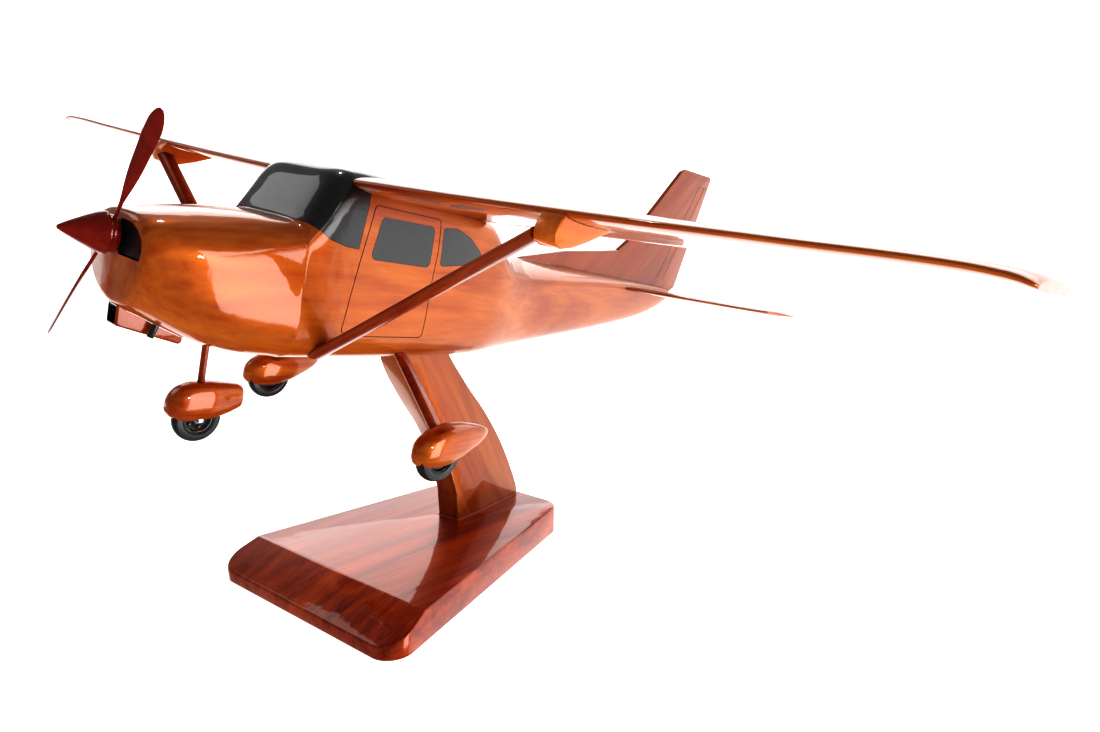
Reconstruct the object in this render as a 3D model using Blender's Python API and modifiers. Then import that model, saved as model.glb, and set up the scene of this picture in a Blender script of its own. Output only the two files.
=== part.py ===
"""Wooden desk model of a four-seat, high-wing light aircraft on its display stand.

The stand's frame is the part's frame: metres, +Z up, origin in the middle of the base's underside,
+X to the aircraft's left (port), +Y aft. The aircraft is held nose-up and banked to port, so it has a
datum of its own: origin at the spinner's tip, X to port, Y aft, Z up. Its sizes are written the way
a scale modeller reads a drawing, in inches of the full-size aircraft at 1:24: stations are inches
aft of the spinner's tip, butt lines inches from the centre plane, waterlines inches above the
propeller's axis.
"""

import math

import bmesh
import bpy
from mathutils import Euler, Matrix, Vector

# ---------------------------------------------------------------- driving dimensions
MM = 0.001
SCALE = 24
INCH = 0.0254 / SCALE  # one inch of the full-size aircraft
GAP = 0.3 * MM  # left between glued or resting faces
CLEAR = GAP / INCH  # the same gap in aircraft inches
RUNNING_CLEAR = 0.1 * MM / INCH  # radial play of a turning hub on its pin, in aircraft inches

# Stand
BASE_LENGTH = 121 * MM
BASE_FRONT_WIDTH = 106 * MM
BASE_REAR_WIDTH = 58 * MM
BASE_THICKNESS = 12 * MM
BASE_CORNER_RADIUS = 9 * MM
BASE_EDGE_ROUND = 0.8 * MM
BEVEL_RUN = 17.5 * MM  # length of the sloping front of the base
BEVEL_DROP = 6.9 * MM
ARM_THICKNESS = 11.6 * MM
SCREW_SPACING = 20 * MM
SCREW_SHANK_RADIUS = 1.6 * MM
SCREW_HEAD_RADIUS = 3.4 * MM

# Attitude of the aircraft on its stand
SPINNER_TIP = Vector((3.9, -122.7, 141.2)) * MM
NOSE_UP = math.radians(9.5)
BANK_TO_PORT = math.radians(7.5)
DOWEL_STATION = 121
DOWEL_RADIUS = 2.0 * MM
DOWEL_LENGTH = 18 * MM
DOWEL_MIDDLE = -29.0

# Aircraft, in inches
FUSELAGE_HALF_WIDTH = 22.4
PROPELLER_RADIUS = 40.5
PROPELLER_STATION = 12.2
PROPELLER_ANGLE = math.radians(37.9)  # of the upper blade, from upright towards port
BLADE_RAKE = 2.4  # how far the tips lean forward of the hub
STRUT_LINE = 96  # butt line of the fairings where the wing struts meet the wing
MAIN_WHEEL = Vector((48, 96.5, -52.2))
NOSE_WHEEL = Vector((0, 42, -51.2))
MAIN_TYRE_RADIUS = 8.5
NOSE_TYRE_RADIUS = 7.2
MAIN_TYRE_WIDTH = 4.6
NOSE_TYRE_WIDTH = 4.0
WHEEL_WELL_PLAY = 0.7
AXLE_RADIUS = 0.7

RING_POINTS = 28

# Fuselage stations: aft of the spinner tip, half width, top, bottom, waterline of the widest point,
# and how square the section is above and below that line (2 is an ellipse).
BODY_STATIONS = (
    (14.0, 14.9, 5.3, -16.1, -2.5, 2.5, 2.0),
    (14.4, 15.9, 6.1, -17.3, -2.5, 2.5, 2.0),
    (15.8, 16.8, 7.0, -18.6, -2.6, 2.6, 2.2),
    (20.5, 18.3, 8.2, -20.7, -2.8, 2.6, 2.8),
    (27.0, 19.8, 9.4, -23.7, -3.0, 2.5, 3.4),
    (35.0, 21.0, 10.6, -26.7, -3.2, 2.6, 4.0),
    (45.0, 21.8, 11.6, -28.6, -3.0, 3.2, 4.4),
    (55.2, 22.3, 12.2, -29.3, -2.4, 4.4, 4.8),
    (56.1, FUSELAGE_HALF_WIDTH, 13.2, -29.4, -2.2, 4.6, 5.0),
    (58.2, FUSELAGE_HALF_WIDTH, 17.2, -29.4, -2.0, 4.4, 5.0),
    (60.6, FUSELAGE_HALF_WIDTH, 21.6, -29.4, -1.8, 4.6, 5.0),
    (62.8, FUSELAGE_HALF_WIDTH, 25.4, -29.4, -1.5, 5.0, 5.0),
    (65.4, FUSELAGE_HALF_WIDTH, 28.3, -29.4, -1.2, 5.6, 5.0),
    (69.0, FUSELAGE_HALF_WIDTH, 29.7, -29.3, -1.0, 6.2, 5.0),
    (80.0, FUSELAGE_HALF_WIDTH, 30.4, -29.2, -1.0, 6.4, 5.0),
    (94.0, FUSELAGE_HALF_WIDTH, 30.3, -29.0, -1.0, 6.4, 5.0),
    (108.0, FUSELAGE_HALF_WIDTH, 28.8, -28.7, -1.0, 6.4, 5.0),
    (120.0, 22.1, 26.6, -28.3, -0.8, 6.0, 5.0),
    (135.0, 21.3, 23.8, -27.9, -0.4, 5.4, 4.8),
    (141.0, 20.8, 20.2, -27.3, 0.0, 4.4, 4.8),
    (148.0, 19.6, 15.6, -26.6, 0.6, 2.8, 4.6),
    (157.0, 17.6, 12.9, -25.7, 1.4, 1.9, 4.4),
    (170.0, 15.0, 11.6, -24.2, 2.4, 1.6, 4.2),
    (198.0, 11.4, 11.0, -20.7, 3.8, 1.6, 4.0),
    (228.0, 8.4, 10.6, -16.7, 5.2, 1.7, 3.6),
    (255.0, 6.2, 10.2, -12.4, 5.9, 1.8, 3.2),
    (280.0, 4.2, 9.6, -7.4, 6.0, 2.0, 2.8),
    (297.0, 2.8, 9.0, -1.8, 5.6, 2.0, 2.4),
    (306.0, 1.8, 8.4, 2.4, 5.2, 2.0, 2.0),
)

# Side outlines, (station, waterline)
CANOPY_SIDE = (
    (46.0, 12.7),
    (55.8, 12.3),
    (62.9, 8.4),
    (68.1, 7.2),
    (73.0, 6.9),
    (74.8, 23.5),
    (76.4, 27.6),
    (92.0, 28.0),
    (92.0, 40.0),
    (46.0, 40.0),
)
DOOR_WINDOW = ((80.3, 17.6), (102.4, 17.6), (102.8, 4.2), (78.0, 4.4))
REAR_WINDOW = ((106.6, 17.9), (113.0, 18.5), (120.5, 16.2), (128.2, 10.8), (119.0, 6.6), (107.6, 5.2))
FIN_OUTLINE = (
    (173.0, 7.0),
    (173.0, 11.8),
    (205.0, 18.2),
    (232.0, 21.4),
    (246.6, 23.4),
    (256.0, 30.4),
    (292.0, 71.0),
    (295.5, 72.9),
    (324.6, 74.2),
    (326.2, 73.0),
    (311.8, 9.9),
    (304.0, 5.0),
)

# ---------------------------------------------------------------- scene and materials
for old in list(bpy.data.objects):
    bpy.data.objects.remove(old, do_unlink=True)


def collection(name):
    made = bpy.data.collections.new(name)
    bpy.context.scene.collection.children.link(made)
    return made


PARTS = collection("propeller_plane_model")
CUTTERS = collection("cutters")


def material(name, colour, roughness, metallic=0.0):
    made = bpy.data.materials.new(name)
    made.use_nodes = True
    shader = made.node_tree.nodes["Principled BSDF"]
    shader.inputs["Base Color"].default_value = (*colour, 1)
    shader.inputs["Roughness"].default_value = roughness
    shader.inputs["Metallic"].default_value = metallic
    return made


MAHOGANY = material("varnished_mahogany", (0.52, 0.15, 0.04), 0.18)
DARK_MAHOGANY = material("dark_mahogany", (0.20, 0.02, 0.01), 0.18)
BLACK_LACQUER = material("black_lacquer", (0.01, 0.01, 0.012), 0.12)
TYRE_RUBBER = material("tyre_rubber", (0.015, 0.015, 0.016), 0.45)
BRIGHT_METAL = material("bright_metal", (0.62, 0.62, 0.64), 0.25, 1.0)
BARE_BEECH = material("bare_beech", (0.55, 0.36, 0.2), 0.6)


# ---------------------------------------------------------------- helpers
def add(name, mesh, look=None, parent=None, cutter=False):
    """A new object in the parts' collection, or a hidden one among the cutters."""
    made = bpy.data.objects.new(name, mesh)
    if cutter:
        CUTTERS.objects.link(made)
        made.hide_render = True
        made.display_type = "WIRE"
    else:
        PARTS.objects.link(made)
        mesh.materials.append(look)
    made.parent = parent
    return made


def finish(shape, name, smooth_angle=math.radians(35)):
    """Turns a bmesh into a mesh whose faces point out, shaded smooth except at real edges."""
    bmesh.ops.recalc_face_normals(shape, faces=shape.faces)
    mesh = bpy.data.meshes.new(name)
    shape.to_mesh(mesh)
    shape.free()
    mesh.shade_smooth()
    mesh.set_sharp_from_angle(angle=smooth_angle)
    return mesh


def loft(name, rings):
    """A closed skin over rings of equal point count, with a flat face at each end."""
    shape = bmesh.new()
    loops = [[shape.verts.new(point) for point in ring] for ring in rings]
    count = len(rings[0])
    for first, second in zip(loops, loops[1:]):
        for i in range(count):
            j = (i + 1) % count
            shape.faces.new((first[i], first[j], second[j], second[i]))
    shape.faces.new(loops[0])
    shape.faces.new(loops[-1])
    return finish(shape, name)


def turned(name, profile, steps, look=None, parent=None, cutter=False):
    """A solid turned about local Z from (radius, height) points that run from top to bottom."""
    mesh = bpy.data.meshes.new(name)
    points = [(radius, 0, height) for radius, height in profile]
    edges = [(i, i + 1) for i in range(len(points) - 1)]
    if profile[0][0] > 0:
        edges.append((len(points) - 1, 0))
    mesh.from_pydata(points, edges, [])
    made = add(name, mesh, look, parent, cutter)
    screw = made.modifiers.new("turn", "SCREW")
    screw.steps = screw.render_steps = steps
    screw.use_merge_vertices = True
    screw.merge_threshold = 0.00001
    screw.use_smooth_shade = True
    return made


def rod(radius, length):
    """The profile of a plain round rod centred on the origin."""
    return [(0, length / 2), (radius, length / 2), (radius, -length / 2), (0, -length / 2)]


def ring_section(radius, width, crown):
    """The closed profile of a tyre: a rounded band with a hole of 0.6 of its radius."""
    inner = 0.6 * radius
    outer = [
        (radius - crown * (1 - math.cos(a)), width / 2 * math.sin(a))
        for a in (math.radians(d) for d in (64, 40, 15, -15, -40, -64))
    ]
    return [(inner, 0.42 * width), (radius - 1.6 * crown, width / 2)] + outer + [
        (radius - 1.6 * crown, -width / 2),
        (inner, -0.42 * width),
    ]


def side_view():
    """Turns a drawing's plane into a side view: drawn x goes aft, drawn y goes up."""
    return Euler((math.pi / 2, 0, math.pi / 2))


def drawn(name, points, thickness, look=None, parent=None, cutter=False, edge=0.0, centre=0.0):
    """A flat piece cut to a side-view outline, centred on butt line `centre`, with rounded edges."""
    drawing = bpy.data.curves.new(name, "CURVE")
    drawing.dimensions = "2D"
    drawing.fill_mode = "BOTH"
    drawing.extrude = thickness / 2 - edge
    drawing.bevel_depth = edge
    drawing.bevel_resolution = 1
    drawing.offset = -edge
    spline = drawing.splines.new("POLY")
    spline.points.add(len(points) - 1)
    for point, (u, v) in zip(spline.points, points):
        point.co = (u, v, 0, 1)
    spline.use_cyclic_u = True
    guide = bpy.data.objects.new(name + "_drawing", drawing)
    CUTTERS.objects.link(guide)
    bpy.context.view_layer.update()
    mesh = bpy.data.meshes.new_from_object(guide.evaluated_get(bpy.context.evaluated_depsgraph_get()))
    bpy.data.objects.remove(guide, do_unlink=True)
    shape = bmesh.new()
    shape.from_mesh(mesh)
    bmesh.ops.remove_doubles(shape, verts=shape.verts, dist=0.00001)
    mesh.materials.clear()
    made = add(name, finish(shape, name), look, parent, cutter)
    made.rotation_euler = side_view()
    made.location.x = centre
    return made


def rounded(corners, radius, steps=4):
    """The outline through these corners with each one turned into an arc."""
    points = []
    count = len(corners)
    for i in range(count):
        corner = Vector(corners[i])
        before = (Vector(corners[i - 1]) - corner).normalized()
        after = (Vector(corners[(i + 1) % count]) - corner).normalized()
        half = before.angle(after) / 2
        centre = corner + (before + after).normalized() * radius / math.sin(half)
        start = corner + before * radius / math.tan(half) - centre
        end = corner + after * radius / math.tan(half) - centre
        for k in range(steps + 1):
            arm = start.lerp(end, k / steps).normalized() * radius
            points.append(tuple(centre + arm))
    return points


def scaled(points):
    """Aircraft inches to metres."""
    return [tuple(value * INCH for value in point) for point in points]


def grown(corners, by):
    """The same outline with every edge moved outwards by a distance."""
    area = sum(a[0] * b[1] - b[0] * a[1] for a, b in zip(corners, corners[1:] + corners[:1]))
    turn = math.copysign(1, area)
    moved = []
    for i, corner in enumerate(corners):
        before = (Vector(corner) - Vector(corners[i - 1])).normalized()
        after = (Vector(corners[(i + 1) % len(corners)]) - Vector(corner)).normalized()
        first = Vector((before.y, -before.x)) * turn
        second = Vector((after.y, -after.x)) * turn
        moved.append(tuple(Vector(corner) + (first + second) * by / (1 + first.dot(second))))
    return tuple(moved)


def boolean(target, tool, operation="DIFFERENCE"):
    step = target.modifiers.new(f"{operation.lower()} {tool.name}", "BOOLEAN")
    step.operation = operation
    step.object = tool
    step.solver = "EXACT"


def oval(width, height, count=16, power=2.0):
    """(sideways, up) points round a closed oval; above 2 the power makes it squarer."""
    points = []
    for i in range(count):
        angle = 2 * math.pi * i / count
        c, s = math.cos(angle), math.sin(angle)
        x = width * math.copysign(abs(c) ** (2 / power), c)
        y = height * math.copysign(abs(s) ** (2 / power), s)
        points.append((x, y))
    return points


def upright_ring(section, station, centre):
    """A section across the aircraft, centred at (butt line, waterline)."""
    return [Vector((centre[0] + x, station, centre[1] + z)) * INCH for x, z in section]


# ---------------------------------------------------------------- body shared by fuselage and canopy
def body_ring(station, half, top, bottom, middle, upper, lower, grow=0.0):
    ring = []
    for i in range(RING_POINTS):
        angle = 2 * math.pi * i / RING_POINTS
        c, s = math.cos(angle), math.sin(angle)
        power = upper if s >= 0 else lower
        reach = (top - middle if s >= 0 else middle - bottom) + grow
        x = (half + grow) * math.copysign(abs(c) ** (2 / power), c)
        z = middle + reach * math.copysign(abs(s) ** (2 / power), s)
        ring.append(Vector((x, station, z)) * INCH)
    return ring


def body_mesh(name, grow=0.0):
    rings = [body_ring(*station, grow) for station in BODY_STATIONS]
    if grow:
        rings[0] = [point - Vector((0, grow * INCH, 0)) for point in rings[0]]
        rings[-1] = [point + Vector((0, grow * INCH, 0)) for point in rings[-1]]
    return loft(name, rings)


airframe = bpy.data.objects.new("airframe_datum", None)
PARTS.objects.link(airframe)
airframe.location = SPINNER_TIP
airframe.rotation_mode = "YXZ"
airframe.rotation_euler = (-NOSE_UP, BANK_TO_PORT, 0)

body_clearance = add("body_clearance", body_mesh("body_clearance", CLEAR), parent=airframe, cutter=True)


# ---------------------------------------------------------------- stand
def base_outline():
    """Clockwise plan of the base: wide end to the front."""
    half = BASE_LENGTH / 2
    corners = [
        (-BASE_FRONT_WIDTH / 2, -half),
        (BASE_FRONT_WIDTH / 2, -half),
        (BASE_REAR_WIDTH / 2, half),
        (-BASE_REAR_WIDTH / 2, half),
    ]
    return rounded(corners, BASE_CORNER_RADIUS, 6)


# (aft, up) in millimetres, from the base to inside the belly
ARM_FRONT_EDGE = (
    (18.0, 12.3),
    (17.6, 20.0),
    (16.6, 28.0),
    (8.5, 52.0),
    (-1.6, 68.5),
    (-8.8, 81.5),
    (-11.5, 90.0),
    (-12.5, 99.0),
)
ARM_REAR_EDGE = (
    (57.4, 12.3),
    (57.4, 16.0),
    (53.0, 27.5),
    (46.3, 41.5),
    (36.8, 56.6),
    (27.2, 69.0),
    (18.0, 82.0),
    (13.6, 90.0),
    (10.0, 99.0),
)


def flowing(points, steps):
    """A smooth edge through hand-placed points (a Catmull-Rom curve)."""
    knots = [Vector(point) for point in points]
    knots = [2 * knots[0] - knots[1]] + knots + [2 * knots[-1] - knots[-2]]
    edge = []
    for a, b, c, d in zip(knots, knots[1:], knots[2:], knots[3:]):
        for k in range(steps):
            t = k / steps
            bend = (2 * a - 5 * b + 4 * c - d) * t**2 + (3 * b - a - 3 * c + d) * t**3
            edge.append(0.5 * (2 * b + (c - a) * t + bend))
    edge.append(knots[-2])
    return edge


def arm_outline():
    """Side view of the arm: up its front edge and down its rear edge."""
    edge = flowing(ARM_FRONT_EDGE, 3) + flowing(ARM_REAR_EDGE, 3)[::-1]
    return [tuple(point * MM) for point in edge]


stand_base = drawn("stand_base", base_outline(), BASE_THICKNESS, MAHOGANY, edge=BASE_EDGE_ROUND)
stand_base.rotation_euler = (0, 0, 0)
stand_base.location = (0, 0, BASE_THICKNESS / 2)

front = -BASE_LENGTH / 2
bevel_waste = drawn(
    "base_bevel_waste",
    [
        (front + BEVEL_RUN, BASE_THICKNESS),
        (front + BEVEL_RUN, BASE_THICKNESS * 2),
        (front - BEVEL_RUN, BASE_THICKNESS * 2),
        (front - BEVEL_RUN, BASE_THICKNESS - 2 * BEVEL_DROP),
    ],
    BASE_FRONT_WIDTH * 1.2,
    cutter=True,
)
boolean(stand_base, bevel_waste)

stand_arm = drawn("stand_arm", arm_outline(), ARM_THICKNESS, DARK_MAHOGANY, edge=0.4 * MM)
boolean(stand_arm, body_clearance)


def screw_profile(extra, foot):
    """A countersunk wood screw with its point up, or its hole when `extra` widens it."""
    shank = SCREW_SHANK_RADIUS + extra
    head = SCREW_HEAD_RADIUS + extra
    return [
        (0, 26 * MM + extra),
        (shank, 23 * MM + extra),
        (shank, 4 * MM + extra),
        (head, 1.6 * MM + extra),
        (head, foot),
        (0, foot),
    ]


SCREWS_MIDDLE = 37 * MM
for place, y in (("front", SCREWS_MIDDLE - SCREW_SPACING / 2), ("rear", SCREWS_MIDDLE + SCREW_SPACING / 2)):
    screw = turned(f"arm_screw_{place}", screw_profile(0, 1.0 * MM), 16, BRIGHT_METAL)
    screw.location = (0, y, 0)
    hole = turned(f"arm_screw_hole_{place}", screw_profile(GAP, -2 * MM), 16, cutter=True)
    hole.location = (0, y, 0)
    boolean(stand_base, hole)
    boolean(stand_arm, hole)

# The dowel stands square to the belly, on the aircraft's centre plane.
stand_dowel = turned("stand_dowel", rod(DOWEL_RADIUS, DOWEL_LENGTH), 20, BARE_BEECH, airframe)
stand_dowel.location = Vector((0, DOWEL_STATION, DOWEL_MIDDLE)) * INCH
socket_profile = rod(DOWEL_RADIUS + GAP, DOWEL_LENGTH + 2 * GAP)
dowel_socket = turned("dowel_socket", socket_profile, 20, cutter=True, parent=airframe)
dowel_socket.location = stand_dowel.location
boolean(stand_arm, dowel_socket)

# ---------------------------------------------------------------- fuselage, canopy and windows
def side_block(name, outline, inner, outer, side):
    """A cutter with a side-view outline, from butt line `inner` out to `outer` on one side."""
    width = (outer - inner) * INCH
    centre = side * (inner + outer) / 2 * INCH
    return drawn(name, scaled(outline), width, cutter=True, parent=airframe, centre=centre)


fuselage = add("fuselage", body_mesh("fuselage"), MAHOGANY, airframe)
canopy = add("canopy", body_mesh("canopy"), BLACK_LACQUER, airframe)
canopy_block = drawn("canopy_block", scaled(CANOPY_SIDE), 60 * INCH, cutter=True, parent=airframe)
boolean(canopy, canopy_block, "INTERSECT")
pocket_outline = scaled(grown(CANOPY_SIDE, CLEAR))
boolean(fuselage, drawn("canopy_pocket", pocket_outline, 61 * INCH, cutter=True, parent=airframe))
boolean(fuselage, dowel_socket)

WINDOWS = (("door_window", DOOR_WINDOW, 2.0, 21.5), ("rear_window", REAR_WINDOW, 1.4, 20.8))
for side, hand in ((1, "port"), (-1, "starboard")):
    for label, outline, radius, inner in WINDOWS:
        window = add(f"{label}_{hand}", body_mesh(f"{label}_{hand}"), BLACK_LACQUER, airframe)
        blank = side_block(f"{label}_blank_{hand}", rounded(outline, radius, 3), inner, 26, side)
        boolean(window, blank, "INTERSECT")
        opening = rounded(grown(outline, CLEAR), radius, 3)
        boolean(fuselage, side_block(f"{label}_pocket_{hand}", opening, inner - CLEAR, 27, side))

# Corners of the air intake in the face of the cowl, (butt line, waterline)
INTAKE_CORNERS = ((1.5, 4.6), (7.6, 4.2), (11.4, 2.7), (13.5, 0.4), (14.3, -2.3), (13.6, -4.8), (1.5, -4.8))
INTAKE_CORNER_RADIUS = 1.0
INTAKE_STATIONS = (11.0, 14.8, 16.6)  # ahead of the cowl, face of the black inlay, back of the recess
for side, hand in ((1, "port"), (-1, "starboard")):
    mouth, face, back = INTAKE_STATIONS
    opening = rounded([(side * x, z) for x, z in INTAKE_CORNERS], INTAKE_CORNER_RADIUS, 2)
    recess = [upright_ring(opening, station, (0, 0)) for station in (mouth, back)]
    recess_mesh = loft(f"intake_recess_{hand}", recess)
    boolean(fuselage, add(f"intake_recess_{hand}", recess_mesh, None, airframe, True))
    plug = grown(opening, -CLEAR)
    inlay = [upright_ring(plug, station, (0, 0)) for station in (face, back - CLEAR)]
    add(f"intake_inlay_{hand}", loft(f"intake_inlay_{hand}", inlay), BLACK_LACQUER, airframe)


# ---------------------------------------------------------------- wings
def airfoil(leading_edge, chord, thickness, height, incidence, camber=0.02, grow=0.0):
    """(station, waterline) points from the trailing edge over the top to the nose and back underneath."""
    steps = [1.0, 0.84, 0.64, 0.42, 0.22, 0.08, 0.015]
    points = []
    for surface in (1, -1):
        for x in steps if surface == 1 else [0.0] + steps[::-1]:
            shape = 0.2969 * math.sqrt(x) - 0.126 * x - 0.3516 * x**2 + 0.2843 * x**3 - 0.1036 * x**4
            half = surface * max(5 * thickness * shape, 0.004)
            z = 4 * camber * x * (1 - x) + half - x * math.sin(incidence)
            station = leading_edge + chord * x + grow * (2 * x - 1)
            points.append((station, height + chord * z + surface * grow))
    return points


# butt line of the leading edge, leading edge, chord, thickness / chord, waterline of the leading edge,
# incidence in degrees, how much further out the trailing edge is
WING_SECTIONS = (
    (18.0, 68.5, 62.5, 0.095, 25.9, 2.5, 0.0),
    (60.0, 68.5, 62.5, 0.088, 26.8, 1.2, 0.0),
    (100.0, 68.6, 61.5, 0.078, 28.1, 0.6, 0.0),
    (150.0, 69.0, 54.5, 0.070, 30.0, 0.2, 1.0),
    (184.0, 69.4, 49.0, 0.070, 31.2, 0.0, 3.0),
    (190.5, 69.8, 48.0, 0.071, 30.9, -0.8, 3.6),
    (194.4, 70.4, 46.8, 0.066, 30.2, -1.5, 3.8),
    (195.4, 71.6, 44.8, 0.052, 29.9, -1.7, 3.8),
)
# butt line, leading edge, chord, thickness / chord, waterline, incidence, trailing edge further out
STABILIZER_SECTIONS = (
    (2.0, 250.4, 49.8, 0.060, 5.6, 0.0, 0.0),
    (30.0, 265.2, 40.6, 0.064, 6.9, 0.0, 1.5),
    (63.0, 282.4, 32.2, 0.070, 8.5, 0.0, 3.6),
    (67.0, 284.8, 31.0, 0.072, 8.8, 0.0, 4.0),
    (68.4, 286.6, 28.8, 0.056, 8.9, 0.0, 4.0),
)


def lifting_surface(name, sections, side, camber=0.02, grow=0.0):
    rings = []
    for line, leading_edge, chord, thickness, height, incidence, slant in sections:
        section = airfoil(leading_edge, chord, thickness, height, math.radians(incidence), camber, grow)
        ring = []
        for station, z in section:
            outward = line + slant * (station - leading_edge) / chord
            ring.append(Vector((side * outward, station, z)) * INCH)
        rings.append(ring)
    return loft(name, rings)


def rod_across(name, radius, length, place, look=None, cutter=False, steps=14):
    """A round rod lying across the aircraft."""
    made = turned(name, rod(radius * INCH, length * INCH), steps, look, airframe, cutter)
    made.rotation_euler = (0, math.pi / 2, 0)
    made.location = Vector(place) * INCH
    return made


WING_DOWELS = (("front", 84.0, 25.8, 1.1), ("rear", 112.0, 25.6, 0.7))
wings = []
wing_clearance = []
for side, hand in ((1, "port"), (-1, "starboard")):
    wing = add(f"wing_{hand}", lifting_surface(f"wing_{hand}", WING_SECTIONS, side), MAHOGANY, airframe)
    boolean(wing, body_clearance)
    wings.append(wing)
    grown_wing = lifting_surface(f"wing_clearance_{hand}", WING_SECTIONS, side, grow=CLEAR)
    wing_clearance.append(add(f"wing_clearance_{hand}", grown_wing, None, airframe, True))
for place, station, height, radius in WING_DOWELS:
    rod_across(f"wing_dowel_{place}", radius, 76, (0, station, height), BARE_BEECH)
    hole = rod_across(f"wing_dowel_hole_{place}", radius + CLEAR, 78, (0, station, height), cutter=True)
    for holed in (fuselage, *wings):
        boolean(holed, hole)

# ---------------------------------------------------------------- tail
fin = drawn("fin_and_rudder", scaled(FIN_OUTLINE), 2.2 * INCH, MAHOGANY, airframe, edge=0.45 * INCH)
boolean(fin, body_clearance)

stabilizers = []
for side, hand in ((1, "port"), (-1, "starboard")):
    mesh = lifting_surface(f"stabilizer_{hand}", STABILIZER_SECTIONS, side, camber=0.0)
    stabilizer = add(f"stabilizer_{hand}", mesh, MAHOGANY, airframe)
    boolean(stabilizer, body_clearance)
    stabilizers.append(stabilizer)
STABILIZER_DOWEL = (0, 268.0, 6.2)
STABILIZER_DOWEL_RADIUS = 0.55
rod_across("stabilizer_dowel", STABILIZER_DOWEL_RADIUS, 26, STABILIZER_DOWEL, BARE_BEECH, steps=12)
stabilizer_hole = rod_across(
    "stabilizer_dowel_hole", STABILIZER_DOWEL_RADIUS + CLEAR, 27, STABILIZER_DOWEL, cutter=True, steps=12
)
for holed in (fuselage, *stabilizers):
    boolean(holed, stabilizer_hole)

FIN_PEG = (0, 286.0, 11.0)
FIN_PEG_RADIUS = 0.5
FIN_PEG_LENGTH = 15
turned("fin_peg", rod(FIN_PEG_RADIUS * INCH, FIN_PEG_LENGTH * INCH), 12, BARE_BEECH, airframe)
turned(
    "fin_peg_hole",
    rod((FIN_PEG_RADIUS + CLEAR) * INCH, (FIN_PEG_LENGTH + 2 * CLEAR) * INCH),
    12,
    parent=airframe,
    cutter=True,
)
for name in ("fin_peg", "fin_peg_hole"):
    bpy.data.objects[name].location = Vector(FIN_PEG) * INCH
for holed in (fuselage, fin):
    boolean(holed, bpy.data.objects["fin_peg_hole"])

# ---------------------------------------------------------------- propeller and spinner
HUB_RADIUS = 4.9
HUB_HALF_THICKNESS = 1.0
propeller_hinge = bpy.data.objects.new("propeller_hinge", None)
PARTS.objects.link(propeller_hinge)
propeller_hinge.parent = airframe
propeller_hinge.location = Vector((0, PROPELLER_STATION, 0)) * INCH
propeller_hinge.rotation_euler = (0, PROPELLER_ANGLE, 0)

# radius, chord, thickness, pitch in degrees
BLADE_SECTIONS = (
    (2.0, 1.0, 1.0, 62),
    (7.5, 0.9, 0.9, 54),
    (10.5, 1.0, 0.9, 48),
    (13.0, 1.5, 0.95, 44),
    (16.0, 2.3, 1.0, 40),
    (22.0, 3.6, 1.0, 34),
    (28.0, 4.3, 0.95, 30),
    (33.0, 4.9, 0.85, 27),
    (36.0, 4.8, 0.8, 25),
    (38.4, 3.8, 0.7, 24),
    (39.8, 2.6, 0.55, 23),
    (PROPELLER_RADIUS, 1.4, 0.4, 23),
)


def blade_mesh(name, turn):
    """One blade along +Z, turned about the hub; its front face looks forward (-Y)."""
    about_hub = Matrix.Rotation(turn, 3, "Y")
    rings = []
    for radius, chord, thickness, pitch in BLADE_SECTIONS:
        angle = math.radians(pitch)
        along = Vector((math.cos(angle), math.sin(angle), 0))
        across = Vector((-math.sin(angle), math.cos(angle), 0))
        middle = Vector((0, -BLADE_RAKE * (radius / PROPELLER_RADIUS) ** 0.8, radius))
        section = oval(chord / 2, thickness / 2, 12)
        rings.append([about_hub @ (middle + along * u + across * v) * INCH for u, v in section])
    return loft(name, rings)


HUB_EDGE = 0.3
hub_profile = (
    (0, HUB_HALF_THICKNESS),
    (HUB_RADIUS - HUB_EDGE, HUB_HALF_THICKNESS),
    (HUB_RADIUS, HUB_HALF_THICKNESS - HUB_EDGE),
    (HUB_RADIUS, HUB_EDGE - HUB_HALF_THICKNESS),
    (HUB_RADIUS - HUB_EDGE, -HUB_HALF_THICKNESS),
    (0, -HUB_HALF_THICKNESS),
)
propeller = turned("propeller", scaled(hub_profile), 28, DARK_MAHOGANY, propeller_hinge)
propeller.rotation_euler = (math.pi / 2, 0, 0)
for turn, which in ((0.0, "upper"), (math.pi, "lower")):
    blade = add(f"blade_{which}", blade_mesh(f"blade_{which}", turn), None, propeller_hinge, True)
    boolean(propeller, blade, "UNION")

# (radius, minus the station) from the tip aft
SPINNER_PROFILE = (
    (0, 0.0),
    (0.5, -0.25),
    (0.8, -0.7),
    (2.6, -4.0),
    (4.3, -7.4),
    (5.3, -9.6),
    (5.6, -10.5),
    (5.55, -10.9),
    (0, -10.9),
)
spinner = turned("spinner", scaled(SPINNER_PROFILE), 32, DARK_MAHOGANY, airframe)
spinner.rotation_euler = (math.pi / 2, 0, 0)

SHAFT_RADIUS = 0.8
SHAFT_START = 6.0
SHAFT_END = 24.0
shaft_middle = Vector((0, (SHAFT_START + SHAFT_END) / 2, 0)) * INCH
for name, grow, look in (
    ("propeller_shaft", 0.0, BRIGHT_METAL),
    ("shaft_glue_hole", CLEAR, None),
    ("shaft_running_hole", RUNNING_CLEAR, None),
):
    length = (SHAFT_END - SHAFT_START + 2 * grow) * INCH
    shaft = turned(name, rod((SHAFT_RADIUS + grow) * INCH, length), 14, look, airframe, look is None)
    shaft.rotation_euler = (math.pi / 2, 0, 0)
    shaft.location = shaft_middle
boolean(propeller, bpy.data.objects["shaft_glue_hole"])
boolean(spinner, bpy.data.objects["shaft_glue_hole"])
boolean(fuselage, bpy.data.objects["shaft_running_hole"])

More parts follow.
